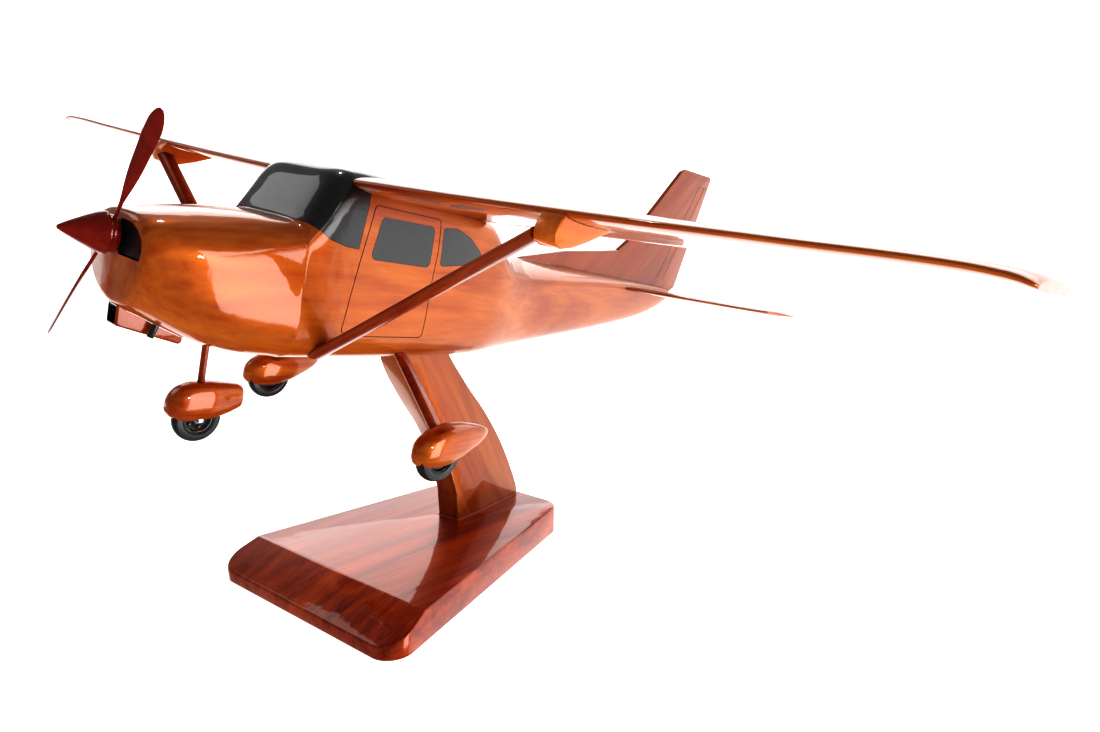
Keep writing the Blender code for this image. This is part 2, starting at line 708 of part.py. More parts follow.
# ---------------------------------------------------------------- chin scoop and exhaust
SCOOP_SIDE = ((15.0, -12.0), (15.0, -23.6), (32.4, -28.3), (33.3, -27.6), (33.0, -20.0))
SCOOP_MOUTH = ((13.0, -17.6), (13.0, -22.8), (17.4, -23.4), (17.4, -17.6))
scoop = drawn("chin_scoop", scaled(SCOOP_SIDE), 5.8 * INCH, DARK_MAHOGANY, airframe, edge=0.3 * INCH)
boolean(scoop, body_clearance)
boolean(scoop, drawn("scoop_mouth", scaled(SCOOP_MOUTH), 4.4 * INCH, cutter=True, parent=airframe))
exhaust = turned("exhaust_stub", rod(0.9 * INCH, 9.0 * INCH), 12, BLACK_LACQUER, airframe)
exhaust.location = Vector((4.8, 24.0, -24.0)) * INCH
exhaust.rotation_euler = (math.radians(-20), 0, 0)
boolean(exhaust, body_clearance)


# ---------------------------------------------------------------- wing struts
def bar(name, start, end, depth, thickness, look):
    """A streamlined bar between two points; `depth` is measured aft, `thickness` across it."""
    start, end = Vector(start), Vector(end)
    line = (end - start).normalized()
    aft = (Vector((0, 1, 0)) - line * line.y).normalized()
    flat = line.cross(aft)
    rings = []
    for point in (start, end):
        rings.append([(point + aft * u + flat * v) * INCH for u, v in oval(depth / 2, thickness / 2, 16)])
    return add(name, loft(name, rings), look, airframe)


# The fairing block where a strut meets the wing, (station, waterline)
STRUT_BLOCK_SIDE = (
    (69.5, 28.8),
    (67.0, 25.6),
    (66.2, 22.6),
    (66.9, 20.4),
    (69.5, 19.5),
    (76.0, 19.9),
    (86.0, 21.8),
    (97.0, 23.9),
    (107.0, 25.8),
    (113.0, 27.2),
    (113.0, 28.8),
)
STRUT_BLOCK_HALF_WIDTH = 3.5
STRUT_DEPTH = 6.6
STRUT_THICKNESS = 2.8
for side, hand, own_wing in ((1, "port", wing_clearance[0]), (-1, "starboard", wing_clearance[1])):
    line = side * STRUT_LINE * INCH
    width = 2 * STRUT_BLOCK_HALF_WIDTH * INCH
    tag = f"strut_fairing_{hand}"
    block = drawn(tag, scaled(STRUT_BLOCK_SIDE), width, MAHOGANY, airframe, edge=0.5 * INCH, centre=line)
    boolean(block, own_wing)
    strut = bar(
        f"wing_strut_{hand}",
        (side * 18, 67.1, -27.2),
        (side * STRUT_LINE, 68.6, 24.6),
        STRUT_DEPTH,
        STRUT_THICKNESS,
        DARK_MAHOGANY,
    )
    boolean(strut, body_clearance)
    inboard_face = STRUT_LINE - STRUT_BLOCK_HALF_WIDTH - CLEAR
    trim_outline = ((55, 5), (85, 5), (85, 40), (55, 40))
    boolean(strut, side_block(f"strut_trim_{hand}", trim_outline, inboard_face, STRUT_LINE + 20, side))

# ---------------------------------------------------------------- landing gear
# station, half width, half height, waterline of the middle
MAIN_FAIRING = (
    (86.0, 1.2, 1.7, -50.9),
    (87.0, 2.6, 3.4, -50.7),
    (89.3, 3.8, 5.0, -50.2),
    (93.0, 4.6, 6.2, -49.5),
    (98.0, 4.8, 6.8, -48.8),
    (104.0, 4.3, 6.1, -47.9),
    (110.0, 3.2, 4.4, -46.9),
    (115.0, 2.0, 2.5, -46.1),
    (117.4, 0.9, 1.1, -45.7),
)
NOSE_FAIRING = (
    (32.6, 1.5, 1.8, -47.2),
    (33.6, 2.9, 3.4, -46.9),
    (36.0, 3.9, 5.1, -46.4),
    (39.8, 4.3, 5.9, -46.0),
    (44.0, 4.3, 5.9, -45.8),
    (48.2, 4.0, 5.3, -45.5),
    (51.8, 3.4, 4.5, -45.1),
    (54.0, 3.0, 3.8, -44.8),
    (54.7, 2.7, 3.4, -44.8),
)
FAIRING_POWER = 2.7


def fairing_mesh(name, sections, line, grow=0.0):
    rings = []
    for station, width, height, middle in sections:
        section = oval(width + grow, height + grow, 20, FAIRING_POWER)
        rings.append(upright_ring(section, station, (line, middle)))
    return loft(name, rings)


def wheel(tag, place, radius, width):
    """A tyre on its metal hub. Both hang on an empty that stands on the axle."""
    hinge = bpy.data.objects.new(f"{tag}_hinge", None)
    PARTS.objects.link(hinge)
    hinge.parent = airframe
    hinge.location = place * INCH
    tyre = turned(f"{tag}_tyre", scaled(ring_section(radius, width, 0.16 * radius)), 28, TYRE_RUBBER, hinge)
    rim = 0.6 * radius - CLEAR
    bore = AXLE_RADIUS + RUNNING_CLEAR
    half = 0.42 * width
    dish = 0.55 * half
    face = [(bore, half), (0.3 * radius, half), (0.36 * radius, dish), (rim - 0.7, dish), (rim, half)]
    hub_profile = face + [(r, -z) for r, z in reversed(face)]
    hub = turned(f"{tag}_hub", scaled(hub_profile), 28, BRIGHT_METAL, hinge)
    tyre.rotation_euler = hub.rotation_euler = (0, math.pi / 2, 0)


def wheel_fairing(tag, sections, place, radius, width):
    """The streamlined fairing with the wheel's slot and the axle's hole, and the axle itself."""
    fairing = add(f"{tag}_fairing", fairing_mesh(f"{tag}_fairing", sections, place.x), MAHOGANY, airframe)
    well_radius = radius + WHEEL_WELL_PLAY
    boolean(fairing, rod_across(f"{tag}_well", well_radius, width + 2 * CLEAR, place, cutter=True, steps=28))
    length = width + 1.9
    rod_across(f"{tag}_axle", AXLE_RADIUS, length, place, BRIGHT_METAL, steps=12)
    hole_size = (AXLE_RADIUS + CLEAR, length + 2 * CLEAR)
    boolean(fairing, rod_across(f"{tag}_axle_hole", *hole_size, place, cutter=True, steps=12))
    return fairing


nose_fairing = wheel_fairing("nose_wheel", NOSE_FAIRING, NOSE_WHEEL, NOSE_TYRE_RADIUS, NOSE_TYRE_WIDTH)
wheel("nose_wheel", NOSE_WHEEL, NOSE_TYRE_RADIUS, NOSE_TYRE_WIDTH)
NOSE_STRUT_TOP = -25.0
NOSE_STRUT_BOTTOM = -40.9
NOSE_STRUT_RADIUS = 1.05
nose_strut_length = NOSE_STRUT_TOP - NOSE_STRUT_BOTTOM
for name, grow, look in (("nose_strut", 0.0, MAHOGANY), ("nose_strut_hole", CLEAR, None)):
    length = (nose_strut_length + 2 * grow) * INCH
    profile = rod((NOSE_STRUT_RADIUS + grow) * INCH, length)
    nose_strut = turned(name, profile, 16, look, airframe, look is None)
    nose_strut.location = Vector((0, NOSE_WHEEL.y, (NOSE_STRUT_TOP + NOSE_STRUT_BOTTOM) / 2)) * INCH
for holed in (fuselage, nose_fairing):
    boolean(holed, nose_strut)

for side, hand in ((1, "port"), (-1, "starboard")):
    place = Vector((side * MAIN_WHEEL.x, MAIN_WHEEL.y, MAIN_WHEEL.z))
    tag = f"main_wheel_{hand}"
    wheel_fairing(tag, MAIN_FAIRING, place, MAIN_TYRE_RADIUS, MAIN_TYRE_WIDTH)
    wheel(tag, place, MAIN_TYRE_RADIUS, MAIN_TYRE_WIDTH)
    leg_top = (side * 14, 101.4, -23.6)
    leg_foot = (side * 47, 96.5, -46.0)
    leg = bar(f"main_leg_{hand}", leg_top, leg_foot, 5.3, 2.5, DARK_MAHOGANY)
    boolean(leg, body_clearance)
    clearance = fairing_mesh(f"{tag}_clearance", MAIN_FAIRING, place.x, CLEAR)
    boolean(leg, add(f"{tag}_clearance", clearance, None, airframe, True))
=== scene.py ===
"""Looks of the wooden desk aircraft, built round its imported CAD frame.

The frame is metres, +Z up, +X to the aircraft's left (port), +Y aft. Pieces of the aircraft are drawn in
its own datum, in inches of the full-size aircraft at 1:24 (butt line, station, waterline), and brought
into the frame by AIRFRAME.
"""

import math
import bmesh
import bpy
import numpy as np
from mathutils import Matrix, Vector
from mathutils.bvhtree import BVHTree
from mathutils.interpolate import poly_3d_calc


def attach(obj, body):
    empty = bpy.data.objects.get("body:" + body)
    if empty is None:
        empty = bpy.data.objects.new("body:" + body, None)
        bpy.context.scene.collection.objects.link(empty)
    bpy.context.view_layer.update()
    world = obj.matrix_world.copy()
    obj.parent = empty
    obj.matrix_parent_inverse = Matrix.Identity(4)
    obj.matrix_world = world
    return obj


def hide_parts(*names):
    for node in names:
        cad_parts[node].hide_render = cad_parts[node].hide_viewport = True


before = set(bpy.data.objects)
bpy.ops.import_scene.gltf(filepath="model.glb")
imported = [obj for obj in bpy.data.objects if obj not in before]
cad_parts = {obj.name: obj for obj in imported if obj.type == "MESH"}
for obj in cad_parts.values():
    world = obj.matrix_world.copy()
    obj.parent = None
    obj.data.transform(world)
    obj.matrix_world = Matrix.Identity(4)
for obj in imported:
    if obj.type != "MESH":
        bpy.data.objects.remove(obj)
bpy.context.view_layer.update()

# ---------------------------------------------------------------- dimensions
# The stand is in millimetres. The aircraft is in inches of the full-size one, and its points are
# (butt line, station, waterline).
MM = 0.001
INCH = 0.0254 / 24
AIRFRAME = (
    Matrix.Translation(Vector((3.9, -122.7, 141.2)) * MM)
    @ Matrix.Rotation(math.radians(-9.5), 4, "X")
    @ Matrix.Rotation(math.radians(7.5), 4, "Y")
)
STAND = Matrix.Identity(4)
HANDS = ((1, "port"), (-1, "starboard"))

# gaps: behind an inlaid or fitted piece, and in a seam that shows
CLEAR = 0.3 * MM / INCH
SEAM = 0.12 * MM / INCH
GROOVE_WIDTH = 0.30
GROOVE_DEPTH = 0.30

# how far apart the rings of a visible skin and of a cutter's skin lie
SKIN_GAP = 1.6
CUTTER_GAP = 4.0

# aft of the spinner tip, half width, top, bottom, waterline of the widest point, powers above and below
BODY_STATIONS = (
    (14.0, 14.9, 5.3, -16.1, -2.5, 2.5, 2.0),
    (14.4, 15.9, 6.1, -17.3, -2.5, 2.5, 2.0),
    (15.8, 16.8, 7.0, -18.6, -2.6, 2.6, 2.2),
    (20.5, 18.3, 8.2, -20.7, -2.8, 2.6, 2.8),
    (27.0, 19.8, 9.4, -23.7, -3.0, 2.5, 3.4),
    (35.0, 21.0, 10.6, -26.7, -3.2, 2.6, 4.0),
    (45.0, 21.8, 11.6, -28.6, -3.0, 3.2, 4.4),
    (55.2, 22.3, 12.2, -29.3, -2.4, 4.4, 4.8),
    (56.1, 22.4, 13.2, -29.4, -2.2, 4.6, 5.0),
    (58.2, 22.4, 17.2, -29.4, -2.0, 4.4, 5.0),
    (60.6, 22.4, 21.6, -29.4, -1.8, 4.6, 5.0),
    (62.8, 22.4, 25.4, -29.4, -1.5, 5.0, 5.0),
    (65.4, 22.4, 28.3, -29.4, -1.2, 5.6, 5.0),
    (69.0, 22.4, 29.7, -29.3, -1.0, 6.2, 5.0),
    (80.0, 22.4, 30.4, -29.2, -1.0, 6.4, 5.0),
    (94.0, 22.4, 30.3, -29.0, -1.0, 6.4, 5.0),
    (108.0, 22.4, 28.8, -28.7, -1.0, 6.4, 5.0),
    (120.0, 22.1, 26.6, -28.3, -0.8, 6.0, 5.0),
    (135.0, 21.3, 23.8, -27.9, -0.4, 5.4, 4.8),
    (141.0, 20.8, 20.2, -27.3, 0.0, 4.4, 4.8),
    (148.0, 19.6, 15.6, -26.6, 0.6, 2.8, 4.6),
    (157.0, 17.6, 12.9, -25.7, 1.4, 1.9, 4.4),
    (170.0, 15.0, 11.6, -24.2, 2.4, 1.6, 4.2),
    (198.0, 11.4, 11.0, -20.7, 3.8, 1.6, 4.0),
    (228.0, 8.4, 10.6, -16.7, 5.2, 1.7, 3.6),
    (255.0, 6.2, 10.2, -12.4, 5.9, 1.8, 3.2),
    (280.0, 4.2, 9.6, -7.4, 6.0, 2.0, 2.8),
    (297.0, 2.8, 9.0, -1.8, 5.6, 2.0, 2.4),
    (306.0, 1.8, 8.4, 2.4, 5.2, 2.0, 2.0),
)

# side views are (station, waterline)
CANOPY_SIDE = (
    (46.0, 12.7),
    (55.8, 12.3),
    (62.9, 8.4),
    (68.1, 7.2),
    (73.0, 6.9),
    (74.8, 23.5),
    (76.4, 27.6),
    (92.0, 28.0),
    (92.0, 40.0),
    (46.0, 40.0),
)
DOOR_WINDOW = ((80.3, 17.6), (102.4, 17.6), (102.8, 4.2), (78.0, 4.4))
REAR_WINDOW = ((106.6, 17.9), (113.0, 18.5), (120.5, 16.2), (128.2, 10.8), (119.0, 6.6), (107.6, 5.2))
DOOR_LINE = (
    (77.1, 20.8),
    (104.8, 20.4),
    (105.6, 9.8),
    (105.1, -1.5),
    (105.4, -19.8),
    (81.4, -20.1),
    (71.6, -19.2),
    (72.6, -8.8),
    (74.4, 4.3),
)
FIN_OUTLINE = (
    (173.0, 7.0),
    (173.0, 11.8),
    (205.0, 18.2),
    (232.0, 21.4),
    (246.6, 23.4),
    (256.0, 30.4),
    (292.0, 71.0),
    (295.5, 72.9),
    (324.6, 74.2),
    (326.2, 73.0),
    (311.8, 9.9),
    (304.0, 5.0),
)
INTAKE_CORNERS = ((1.5, 4.6), (7.6, 4.2), (11.4, 2.7), (13.5, 0.4), (14.3, -2.3), (13.6, -4.8), (1.5, -4.8))
INTAKE_STATIONS = (11.0, 16.6)
SOCKET_RADIUS = 2.3 * MM / INCH
SOCKET_REACH = 9.3 * MM / INCH
SOCKET_PLACE = (0, 121, -29)
SHAFT_HOLE = ((1.0, 0), (1.0, 14))
SHAFT_HOLE_PLACE = (0, 11, 0)

# label, outline, corner radius, depth from the middle of the cabin
WINDOWS = (("door_window", DOOR_WINDOW, 2.0, 21.5), ("rear_window", REAR_WINDOW, 1.4, 20.8))
WIDEST = 26.0

FIN_HALF = 1.1

# the rudder's outline on the fin: each line's ends
HINGE_LINES = (
    ((296.4, 12.6), (320.3, 67.0)),
    ((290.3, 13.8), (314.1, 67.0)),
    ((313.7, 67.0), (327.5, 67.0)),
)

# butt line, leading edge, chord, thickness / chord, waterline, incidence, trailing edge further out
WING_SECTIONS = (
    (18.0, 68.5, 62.5, 0.095, 25.9, 2.5, 0.0),
    (60.0, 68.5, 62.5, 0.088, 26.8, 1.2, 0.0),
    (100.0, 68.6, 61.5, 0.078, 28.1, 0.6, 0.0),
    (150.0, 69.0, 54.5, 0.070, 30.0, 0.2, 1.0),
    (184.0, 69.4, 49.0, 0.070, 31.2, 0.0, 3.0),
    (190.5, 69.8, 48.0, 0.071, 30.9, -0.8, 3.6),
    (194.4, 70.4, 46.8, 0.066, 30.2, -1.5, 3.8),
    (195.4, 71.6, 44.8, 0.052, 29.9, -1.7, 3.8),
)
STABILIZER_SECTIONS = (
    (2.0, 250.4, 49.8, 0.060, 5.6, 0.0, 0.0),
    (30.0, 265.2, 40.6, 0.064, 6.9, 0.0, 1.5),
    (63.0, 282.4, 32.2, 0.070, 8.5, 0.0, 3.6),
    (67.0, 284.8, 31.0, 0.072, 8.8, 0.0, 4.0),
    (68.4, 286.6, 28.8, 0.056, 8.9, 0.0, 4.0),
)
WING_CAMBER = 0.02

PROPELLER_RADIUS = 40.5
PROPELLER_STATION = 12.2
PROPELLER_ANGLE = math.radians(37.9)
BLADE_RAKE = 2.4

# radius, chord, thickness, pitch in degrees
BLADE_SECTIONS = (
    (2.0, 1.0, 1.0, 62),
    (7.5, 0.9, 0.9, 54),
    (10.5, 1.0, 0.9, 48),
    (13.0, 1.5, 0.95, 44),
    (16.0, 2.3, 1.0, 40),
    (22.0, 3.6, 1.0, 34),
    (28.0, 4.3, 0.95, 30),
    (33.0, 4.9, 0.85, 27),
    (36.0, 4.8, 0.8, 25),
    (38.4, 3.8, 0.7, 24),
    (39.8, 2.6, 0.55, 23),
    (PROPELLER_RADIUS, 1.4, 0.4, 23),
)

# profiles of turned pieces are (radius, along the axis)
HUB_HALF = ((0.001, 1.0), (4.6, 1.0), (4.82, 0.92), (4.9, 0.7))
SPINNER_PROFILE = ((0.001, 0.0), (0.5, 0.25), (0.8, 0.7), (2.6, 4.0), (4.3, 7.4), (5.3, 9.6), (5.6, 10.5))
SPINNER_BACK = ((5.55, 10.9), (0.001, 10.9))
SCOOP_SIDE = ((15.0, -12.0), (15.0, -23.6), (32.4, -28.3), (33.3, -27.6), (33.0, -20.0))
SCOOP_HALF = 2.9
SCOOP_MOUTH = ((13.0, -17.6), (13.0, -22.8), (17.4, -23.4), (17.4, -17.6))
MOUTH_HALF = 2.2
STUB = ((0.001, 4.5), (0.9, 4.5), (0.9, -2.0), (0.8, -2.2), (0.6, -2.2), (0.55, -1.2), (0.001, -1.2))
STUB_PLACE = (4.8, 24, -24)
STUB_TILT = math.radians(-20)

# station, half width, half height, waterline of the middle
MAIN_FAIRING = (
    (86.0, 1.2, 1.7, -50.9),
    (87.0, 2.6, 3.4, -50.7),
    (89.3, 3.8, 5.0, -50.2),
    (93.0, 4.6, 6.2, -49.5),
    (98.0, 4.8, 6.8, -48.8),
    (104.0, 4.3, 6.1, -47.9),
    (110.0, 3.2, 4.4, -46.9),
    (115.0, 2.0, 2.5, -46.1),
    (117.4, 0.9, 1.1, -45.7),
)
NOSE_FAIRING = (
    (32.6, 1.5, 1.8, -47.2),
    (33.6, 2.9, 3.4, -46.9),
    (36.0, 3.9, 5.1, -46.4),
    (39.8, 4.3, 5.9, -46.0),
    (44.0, 4.3, 5.9, -45.8),
    (48.2, 4.0, 5.3, -45.5),
    (51.8, 3.4, 4.5, -45.1),
    (54.0, 3.0, 3.8, -44.8),
    (54.7, 2.7, 3.4, -44.8),
)
MAIN_WHEEL = (48, 96.5, -52.2)
MAIN_TYRE = (8.5, 4.6)
NOSE_WHEEL = (0, 42, -51.2)
NOSE_TYRE = (7.2, 4.0)

# the rim's radius over the tyre's, and half its width over the tyre's width
RIM_RADIUS = 0.6
RIM_HALF = 0.42
WELL_GAP = 0.7
AXLE_RADIUS = 0.7
AXLE_EXTRA = 1.9
BOLT_HEAD = ((0.42, -0.5), (0.42, 0.4), (0.3, 0.5))
NOSE_LEG = ((0.001, 0.0), (1.0, 0.0), (1.05, -0.2), (1.05, -15.7), (1.0, -15.9), (0.001, -15.9))
NOSE_LEG_HOLE = ((1.05 + SEAM, -16), (1.05 + SEAM, 0.3))
NOSE_LEG_PLACE = (0, 42, -25)

# the port one's ends, then its depth and thickness
LIFT_STRUT = ((18, 67.1, -27.2), (96, 68.6, 24.6), 6.6, 2.8)
MAIN_LEG = ((14, 101.4, -23.6), (47, 96.5, -46.0), 5.3, 2.5)
CUFF_LINE = 96.0
CUFF_HALF = 3.5
CUFF_SIDE = (
    (69.5, 28.8),
    (67.0, 25.6),
    (66.2, 22.6),
    (66.9, 20.4),
    (69.5, 19.5),
    (74.0, 20.3),
    (80.0, 22.4),
    (86.0, 25.0),
    (92.0, 27.4),
    (92.0, 28.8),
)

# the stand, in millimetres: side views are (aft, up)
ARM_FRONT_EDGE = (
    (18.0, 12.3),
    (17.6, 20.0),
    (16.6, 28.0),
    (8.5, 52.0),
    (-1.6, 68.5),
    (-8.8, 81.5),
    (-11.5, 90.0),
    (-12.5, 99.0),
)
ARM_REAR_EDGE = (
    (57.4, 12.3),
    (57.4, 16.0),
    (53.0, 27.5),
    (46.3, 41.5),
    (36.8, 56.6),
    (27.2, 69.0),
    (18.0, 82.0),
    (13.6, 90.0),
    (10.0, 99.0),
)
BASE_LENGTH = 121.0
BASE_FRONT_WIDTH = 106.0
BASE_REAR_WIDTH = 58.0
BASE_THICKNESS = 12.0
BASE_CORNER = 9.0
BEVEL_RUN = 17.5
BEVEL_DROP = 6.9
ARM_THICKNESS = 11.6

# where the arm's foot stands, front and rear
FOOT = (17.8, 57.5)

# The studio, in metres and degrees. A patch of bright wall is (from, to, softness) round the room, counted
# from the dark corner behind the camera, then the same in elevation, then its strength.
DARK_CORNER = -52.5
AMBIENT = 0.14
STUDIO_PATCHES = (
    ((88.5, 247, 2), (-46, 17, 2), 0.86),
    ((100, 217, 2), (17, 40.5, 1.5), 1.7),
    ((60, 83.5, 1), (-32, 12, 2), 4.2),
    ((88.5, 247, 2), (-46, -4, 2), 0.2),
)

# name, place, target, size, radiance
SOFT_BOXES = (
    ("overhead_box", (-0.88, -0.38, 0.89), (0, -0.05, 0.15), 0.4, 1.1),
    ("lamp_right", (1.0, 0.0, 0.06), (0, -0.09, 0.13), 0.05, 90.0),
    ("lamp_back", (-0.31, 0.21, 1.04), (0, -0.09, 0.14), 0.05, 60.0),
)
CAMERA_PLACE = (0.2267, -0.2042, 0.1477)
CAMERA_TURN = (math.radians(77.81), 0, math.radians(37.51))
CAMERA_LENS = 25.08


# ---------------------------------------------------------------- materials
class Nodes:
    """Short ways to add nodes to a tree."""

    def __init__(self, tree):
        self.tree = tree

    def node(self, kind, **settings):
        made = self.tree.nodes.new(kind)
        for key, value in settings.items():
            setattr(made, key, value)
        return made

    def link(self, output, socket):
        self.tree.links.new(output, socket)

    def set(self, node, values):
        for key, value in values.items():
            node.inputs[key.replace("_", " ")].default_value = value

    def give(self, socket, value):
        """Sets a socket to a number or a colour, or links an output to it."""
        if isinstance(value, (int, float)):
            socket.default_value = value
        elif isinstance(value, tuple):
            socket.default_value = (*value, 1)
        else:
            self.link(value, socket)

    def maths(self, operation, *values):
        made = self.node("ShaderNodeMath", operation=operation)
        for socket, value in zip(made.inputs, values):
            self.give(socket, value)
        return made.outputs["Value"]

    def span(self, value, low, high, to_low=0.0, to_high=1.0):
        made = self.node("ShaderNodeMapRange", interpolation_type="SMOOTHSTEP")
        self.link(value, made.inputs["Value"])
        names = ("From Min", "From Max", "To Min", "To Max")
        self.set(made, dict(zip(names, (low, high, to_low, to_high))))
        return made.outputs["Result"]


class Shader(Nodes):
    """One Principled material and the node chains that feed it."""

    def __init__(self, name, **constants):
        self.material = bpy.data.materials.new(name)
        self.material.use_nodes = True
        super().__init__(self.material.node_tree)
        self.surface = self.tree.nodes["Principled BSDF"]
        self.set(self.surface, constants)
        self.coordinates = self.node("ShaderNodeTexCoord").outputs["Object"]

    def stretched(self, rotation, scale):
        """Object coordinates turned so that X runs with the grain, then scaled."""
        turned = self.node("ShaderNodeMapping")
        turned.inputs["Rotation"].default_value = rotation
        self.link(self.coordinates, turned.inputs["Vector"])
        stretch = self.node("ShaderNodeMapping")
        stretch.inputs["Scale"].default_value = scale
        self.link(turned.outputs["Vector"], stretch.inputs["Vector"])
        return stretch.outputs["Vector"]

    def noise(self, vector, detail=4.0, roughness=0.55, distortion=0.0, scale=1.0):
        made = self.node("ShaderNodeTexNoise")
        self.link(vector, made.inputs["Vector"])
        values = {"Scale": scale, "Detail": detail, "Roughness": roughness, "Distortion": distortion}
        self.set(made, values)
        return made.outputs["Fac"]

    def ramp(self, value, stops):
        made = self.node("ShaderNodeValToRGB")
        elements = made.color_ramp.elements
        while len(elements) < len(stops):
            elements.new(0.5)
        for element, (place, colour) in zip(elements, stops):
            element.position = place
            element.color = (*colour, 1)
        self.link(value, made.inputs["Fac"])
        return made.outputs["Color"]

    def mix(self, factor, first, second):
        made = self.node("ShaderNodeMix", data_type="RGBA")
        # the inputs of the colour version of this node: factor, first and second colour
        for place, value in ((0, factor), (6, first), (7, second)):
            self.give(made.inputs[place], value)
        return made.outputs[2]

    def bump(self, height, strength, distance, under=None):
        made = self.node("ShaderNodeBump")
        self.link(height, made.inputs["Height"])
        self.set(made, {"Strength": strength, "Distance": distance})
        if under is not None:
            self.link(under, made.inputs["Normal"])
        return made.outputs["Normal"]

    def feed(self, name, output):
        self.link(output, self.surface.inputs[name])


def grain_turn(direction, across):
    """Euler angles that bring the grain's direction onto X and `across` close to Z."""
    x = Vector(direction).normalized()
    z = (Vector(across) - x * x.dot(Vector(across))).normalized()
    y = z.cross(x)
    return tuple(Matrix((x, y, z)).to_euler())


def wood(name, light, dark, direction, across, figure=1.0, wave=1.0, seed=0.0):
    """Varnished mahogany: ribbon figure, grain, open pores and a thick wavy gloss coat."""
    varnish = {"Coat_Weight": 1.0, "Coat_Roughness": 0.02, "Coat_IOR": 1.5}
    made = Shader(name, Metallic=0.4, IOR=1.5, Specular_IOR_Level=0.15, **varnish)
    # each noise is stretched by its cells per metre: along the grain, then twice across it
    turn = grain_turn(direction, across)
    shift = made.node("ShaderNodeVectorMath", operation="ADD")
    shift.inputs[1].default_value = (seed, seed * 1.7, seed * 0.6)
    made.link(made.coordinates, shift.inputs[0])
    made.coordinates = shift.outputs["Vector"]
    ribbon = made.noise(made.stretched(turn, (9, 95, 60)), 3.0, 0.5, 0.8)
    grain = made.noise(made.stretched(turn, (30, 620, 420)), 5.0, 0.62, 0.4)
    fine = made.noise(made.stretched(turn, (120, 2600, 2000)), 2.0, 0.5)
    streaks = made.noise(made.stretched(turn, (420, 5200, 4200)), 1.0, 0.4)
    pores = made.span(streaks, 0.66, 0.78)
    blend = made.maths("ADD", made.maths("MULTIPLY", ribbon, 0.62), made.maths("MULTIPLY", grain, 0.38))
    spread = 0.13 * figure
    body = made.ramp(blend, [(0.5 - spread, dark), (0.5 + spread, light)])
    body = made.mix(made.maths("MULTIPLY", fine, 0.16), body, tuple(c * 0.45 for c in dark))
    body = made.mix(made.maths("MULTIPLY", pores, 0.22), body, tuple(c * 0.12 for c in dark))
    made.feed("Base Color", body)
    made.feed("Roughness", made.span(grain, 0.3, 0.7, 0.30, 0.44))
    under = made.bump(grain, 0.25, 0.00012)
    made.feed("Normal", made.bump(fine, 0.12, 0.00005, under))
    waves = made.noise(made.coordinates, 2.0, 0.5, scale=150)
    telegraphed = made.maths("ADD", waves, made.maths("MULTIPLY", grain, 0.10))
    made.feed("Coat Normal", made.bump(telegraphed, 0.10 * wave, 0.0008))
    return made


def speckled(name, scale, colours, roughness, detail=3.0, grain=0.6, relief=None, **constants):
    """A material whose colour and roughness follow a fine noise, with a little relief if it is given."""
    made = Shader(name, **constants)
    speck = made.noise(made.coordinates, detail, grain, scale=scale)
    dark, light = colours
    made.feed("Base Color", made.ramp(speck, [(0.3, dark), (0.8, light)]))
    made.feed("Roughness", made.span(speck, 0.2, 0.8, *roughness))
    if relief is not None:
        made.feed("Normal", made.bump(speck, *relief))
    return made


def black_lacquer():
    """Thick black gloss with a slow ripple in the coat."""
    colours = ((0.010, 0.010, 0.011), (0.022, 0.022, 0.024))
    coat = {"Coat_Weight": 1.0, "Coat_Roughness": 0.015, "Coat_IOR": 1.5}
    made = speckled("black_lacquer", 900, colours, (0.28, 0.42), Metallic=0.0, IOR=1.5, **coat)
    ripple = made.noise(made.coordinates, 2.0, 0.5, scale=120)
    made.feed("Coat Normal", made.bump(ripple, 0.06, 0.0008))
    return made


def bare_beech():
    """Unvarnished dowel wood with its fibres along the dowel."""
    made = Shader("bare_beech", Metallic=0.0, IOR=1.45)
    fibres = made.noise(made.stretched((0, 0, 0), (500, 500, 60)), 4.0, 0.6)
    made.feed("Base Color", made.ramp(fibres, [(0.3, (0.42, 0.25, 0.12)), (0.75, (0.66, 0.46, 0.27))]))
    made.feed("Roughness", made.span(fibres, 0.2, 0.8, 0.5, 0.7))
    made.feed("Normal", made.bump(fibres, 0.2, 0.0001))
    return made


AIR = AIRFRAME.to_3x3()
AFT = AIR @ Vector((0, 1, 0))
UPWARD = AIR @ Vector((0, 0, 1))
TO_PORT = AIR @ Vector((1, 0, 0))

# the light and the dark of each wood's figure
GOLDEN = (0.66, 0.175, 0.017), (0.40, 0.060, 0.004)
RED = (0.34, 0.020, 0.004), (0.20, 0.008, 0.002)
ROSY = (0.44, 0.085, 0.018), (0.28, 0.042, 0.008)
BROWN = (0.42, 0.075, 0.012), (0.24, 0.025, 0.004)
ARM_BROWN = (0.52, 0.13, 0.022), (0.32, 0.055, 0.008)
RIBBONED = (0.62, 0.095, 0.010), (0.23, 0.016, 0.002)
# the cuffs' paler gold is painted light: the bright golden look of a lit cuff
PALE_GOLD_PAINTED_LIGHT = (0.95, 0.27, 0.035), (0.66, 0.12, 0.012)

fuselage_wood = wood("varnished_mahogany", *GOLDEN, AFT, UPWARD)
wing_wood = wood("wing_mahogany", *GOLDEN, TO_PORT, UPWARD, seed=3.1)
fin_wood = wood("fin_mahogany", *ROSY, AFT + UPWARD, TO_PORT, seed=5.3)
fairing_wood = wood("fairing_mahogany", *GOLDEN, AFT, TO_PORT, seed=7.7, figure=0.8)
propeller_wood = wood("propeller_mahogany", *RED, AFT, UPWARD, seed=9.2)
strut_wood = wood("strut_mahogany", *BROWN, TO_PORT + UPWARD, AFT, seed=11.4)
arm_wood = wood("arm_mahogany", *ARM_BROWN, (0, -0.45, 0.9), (1, 0, 0), seed=13.9)
base_wood = wood("base_mahogany", *RIBBONED, (0.12, 1, 0), (0, 0, 1), seed=16.2)
# mahogany made paler and more golden as painted light
cuff_wood_painted_light = wood("cuff_mahogany_painted_light", *PALE_GOLD_PAINTED_LIGHT, AFT, TO_PORT, seed=19.5, wave=3.0)
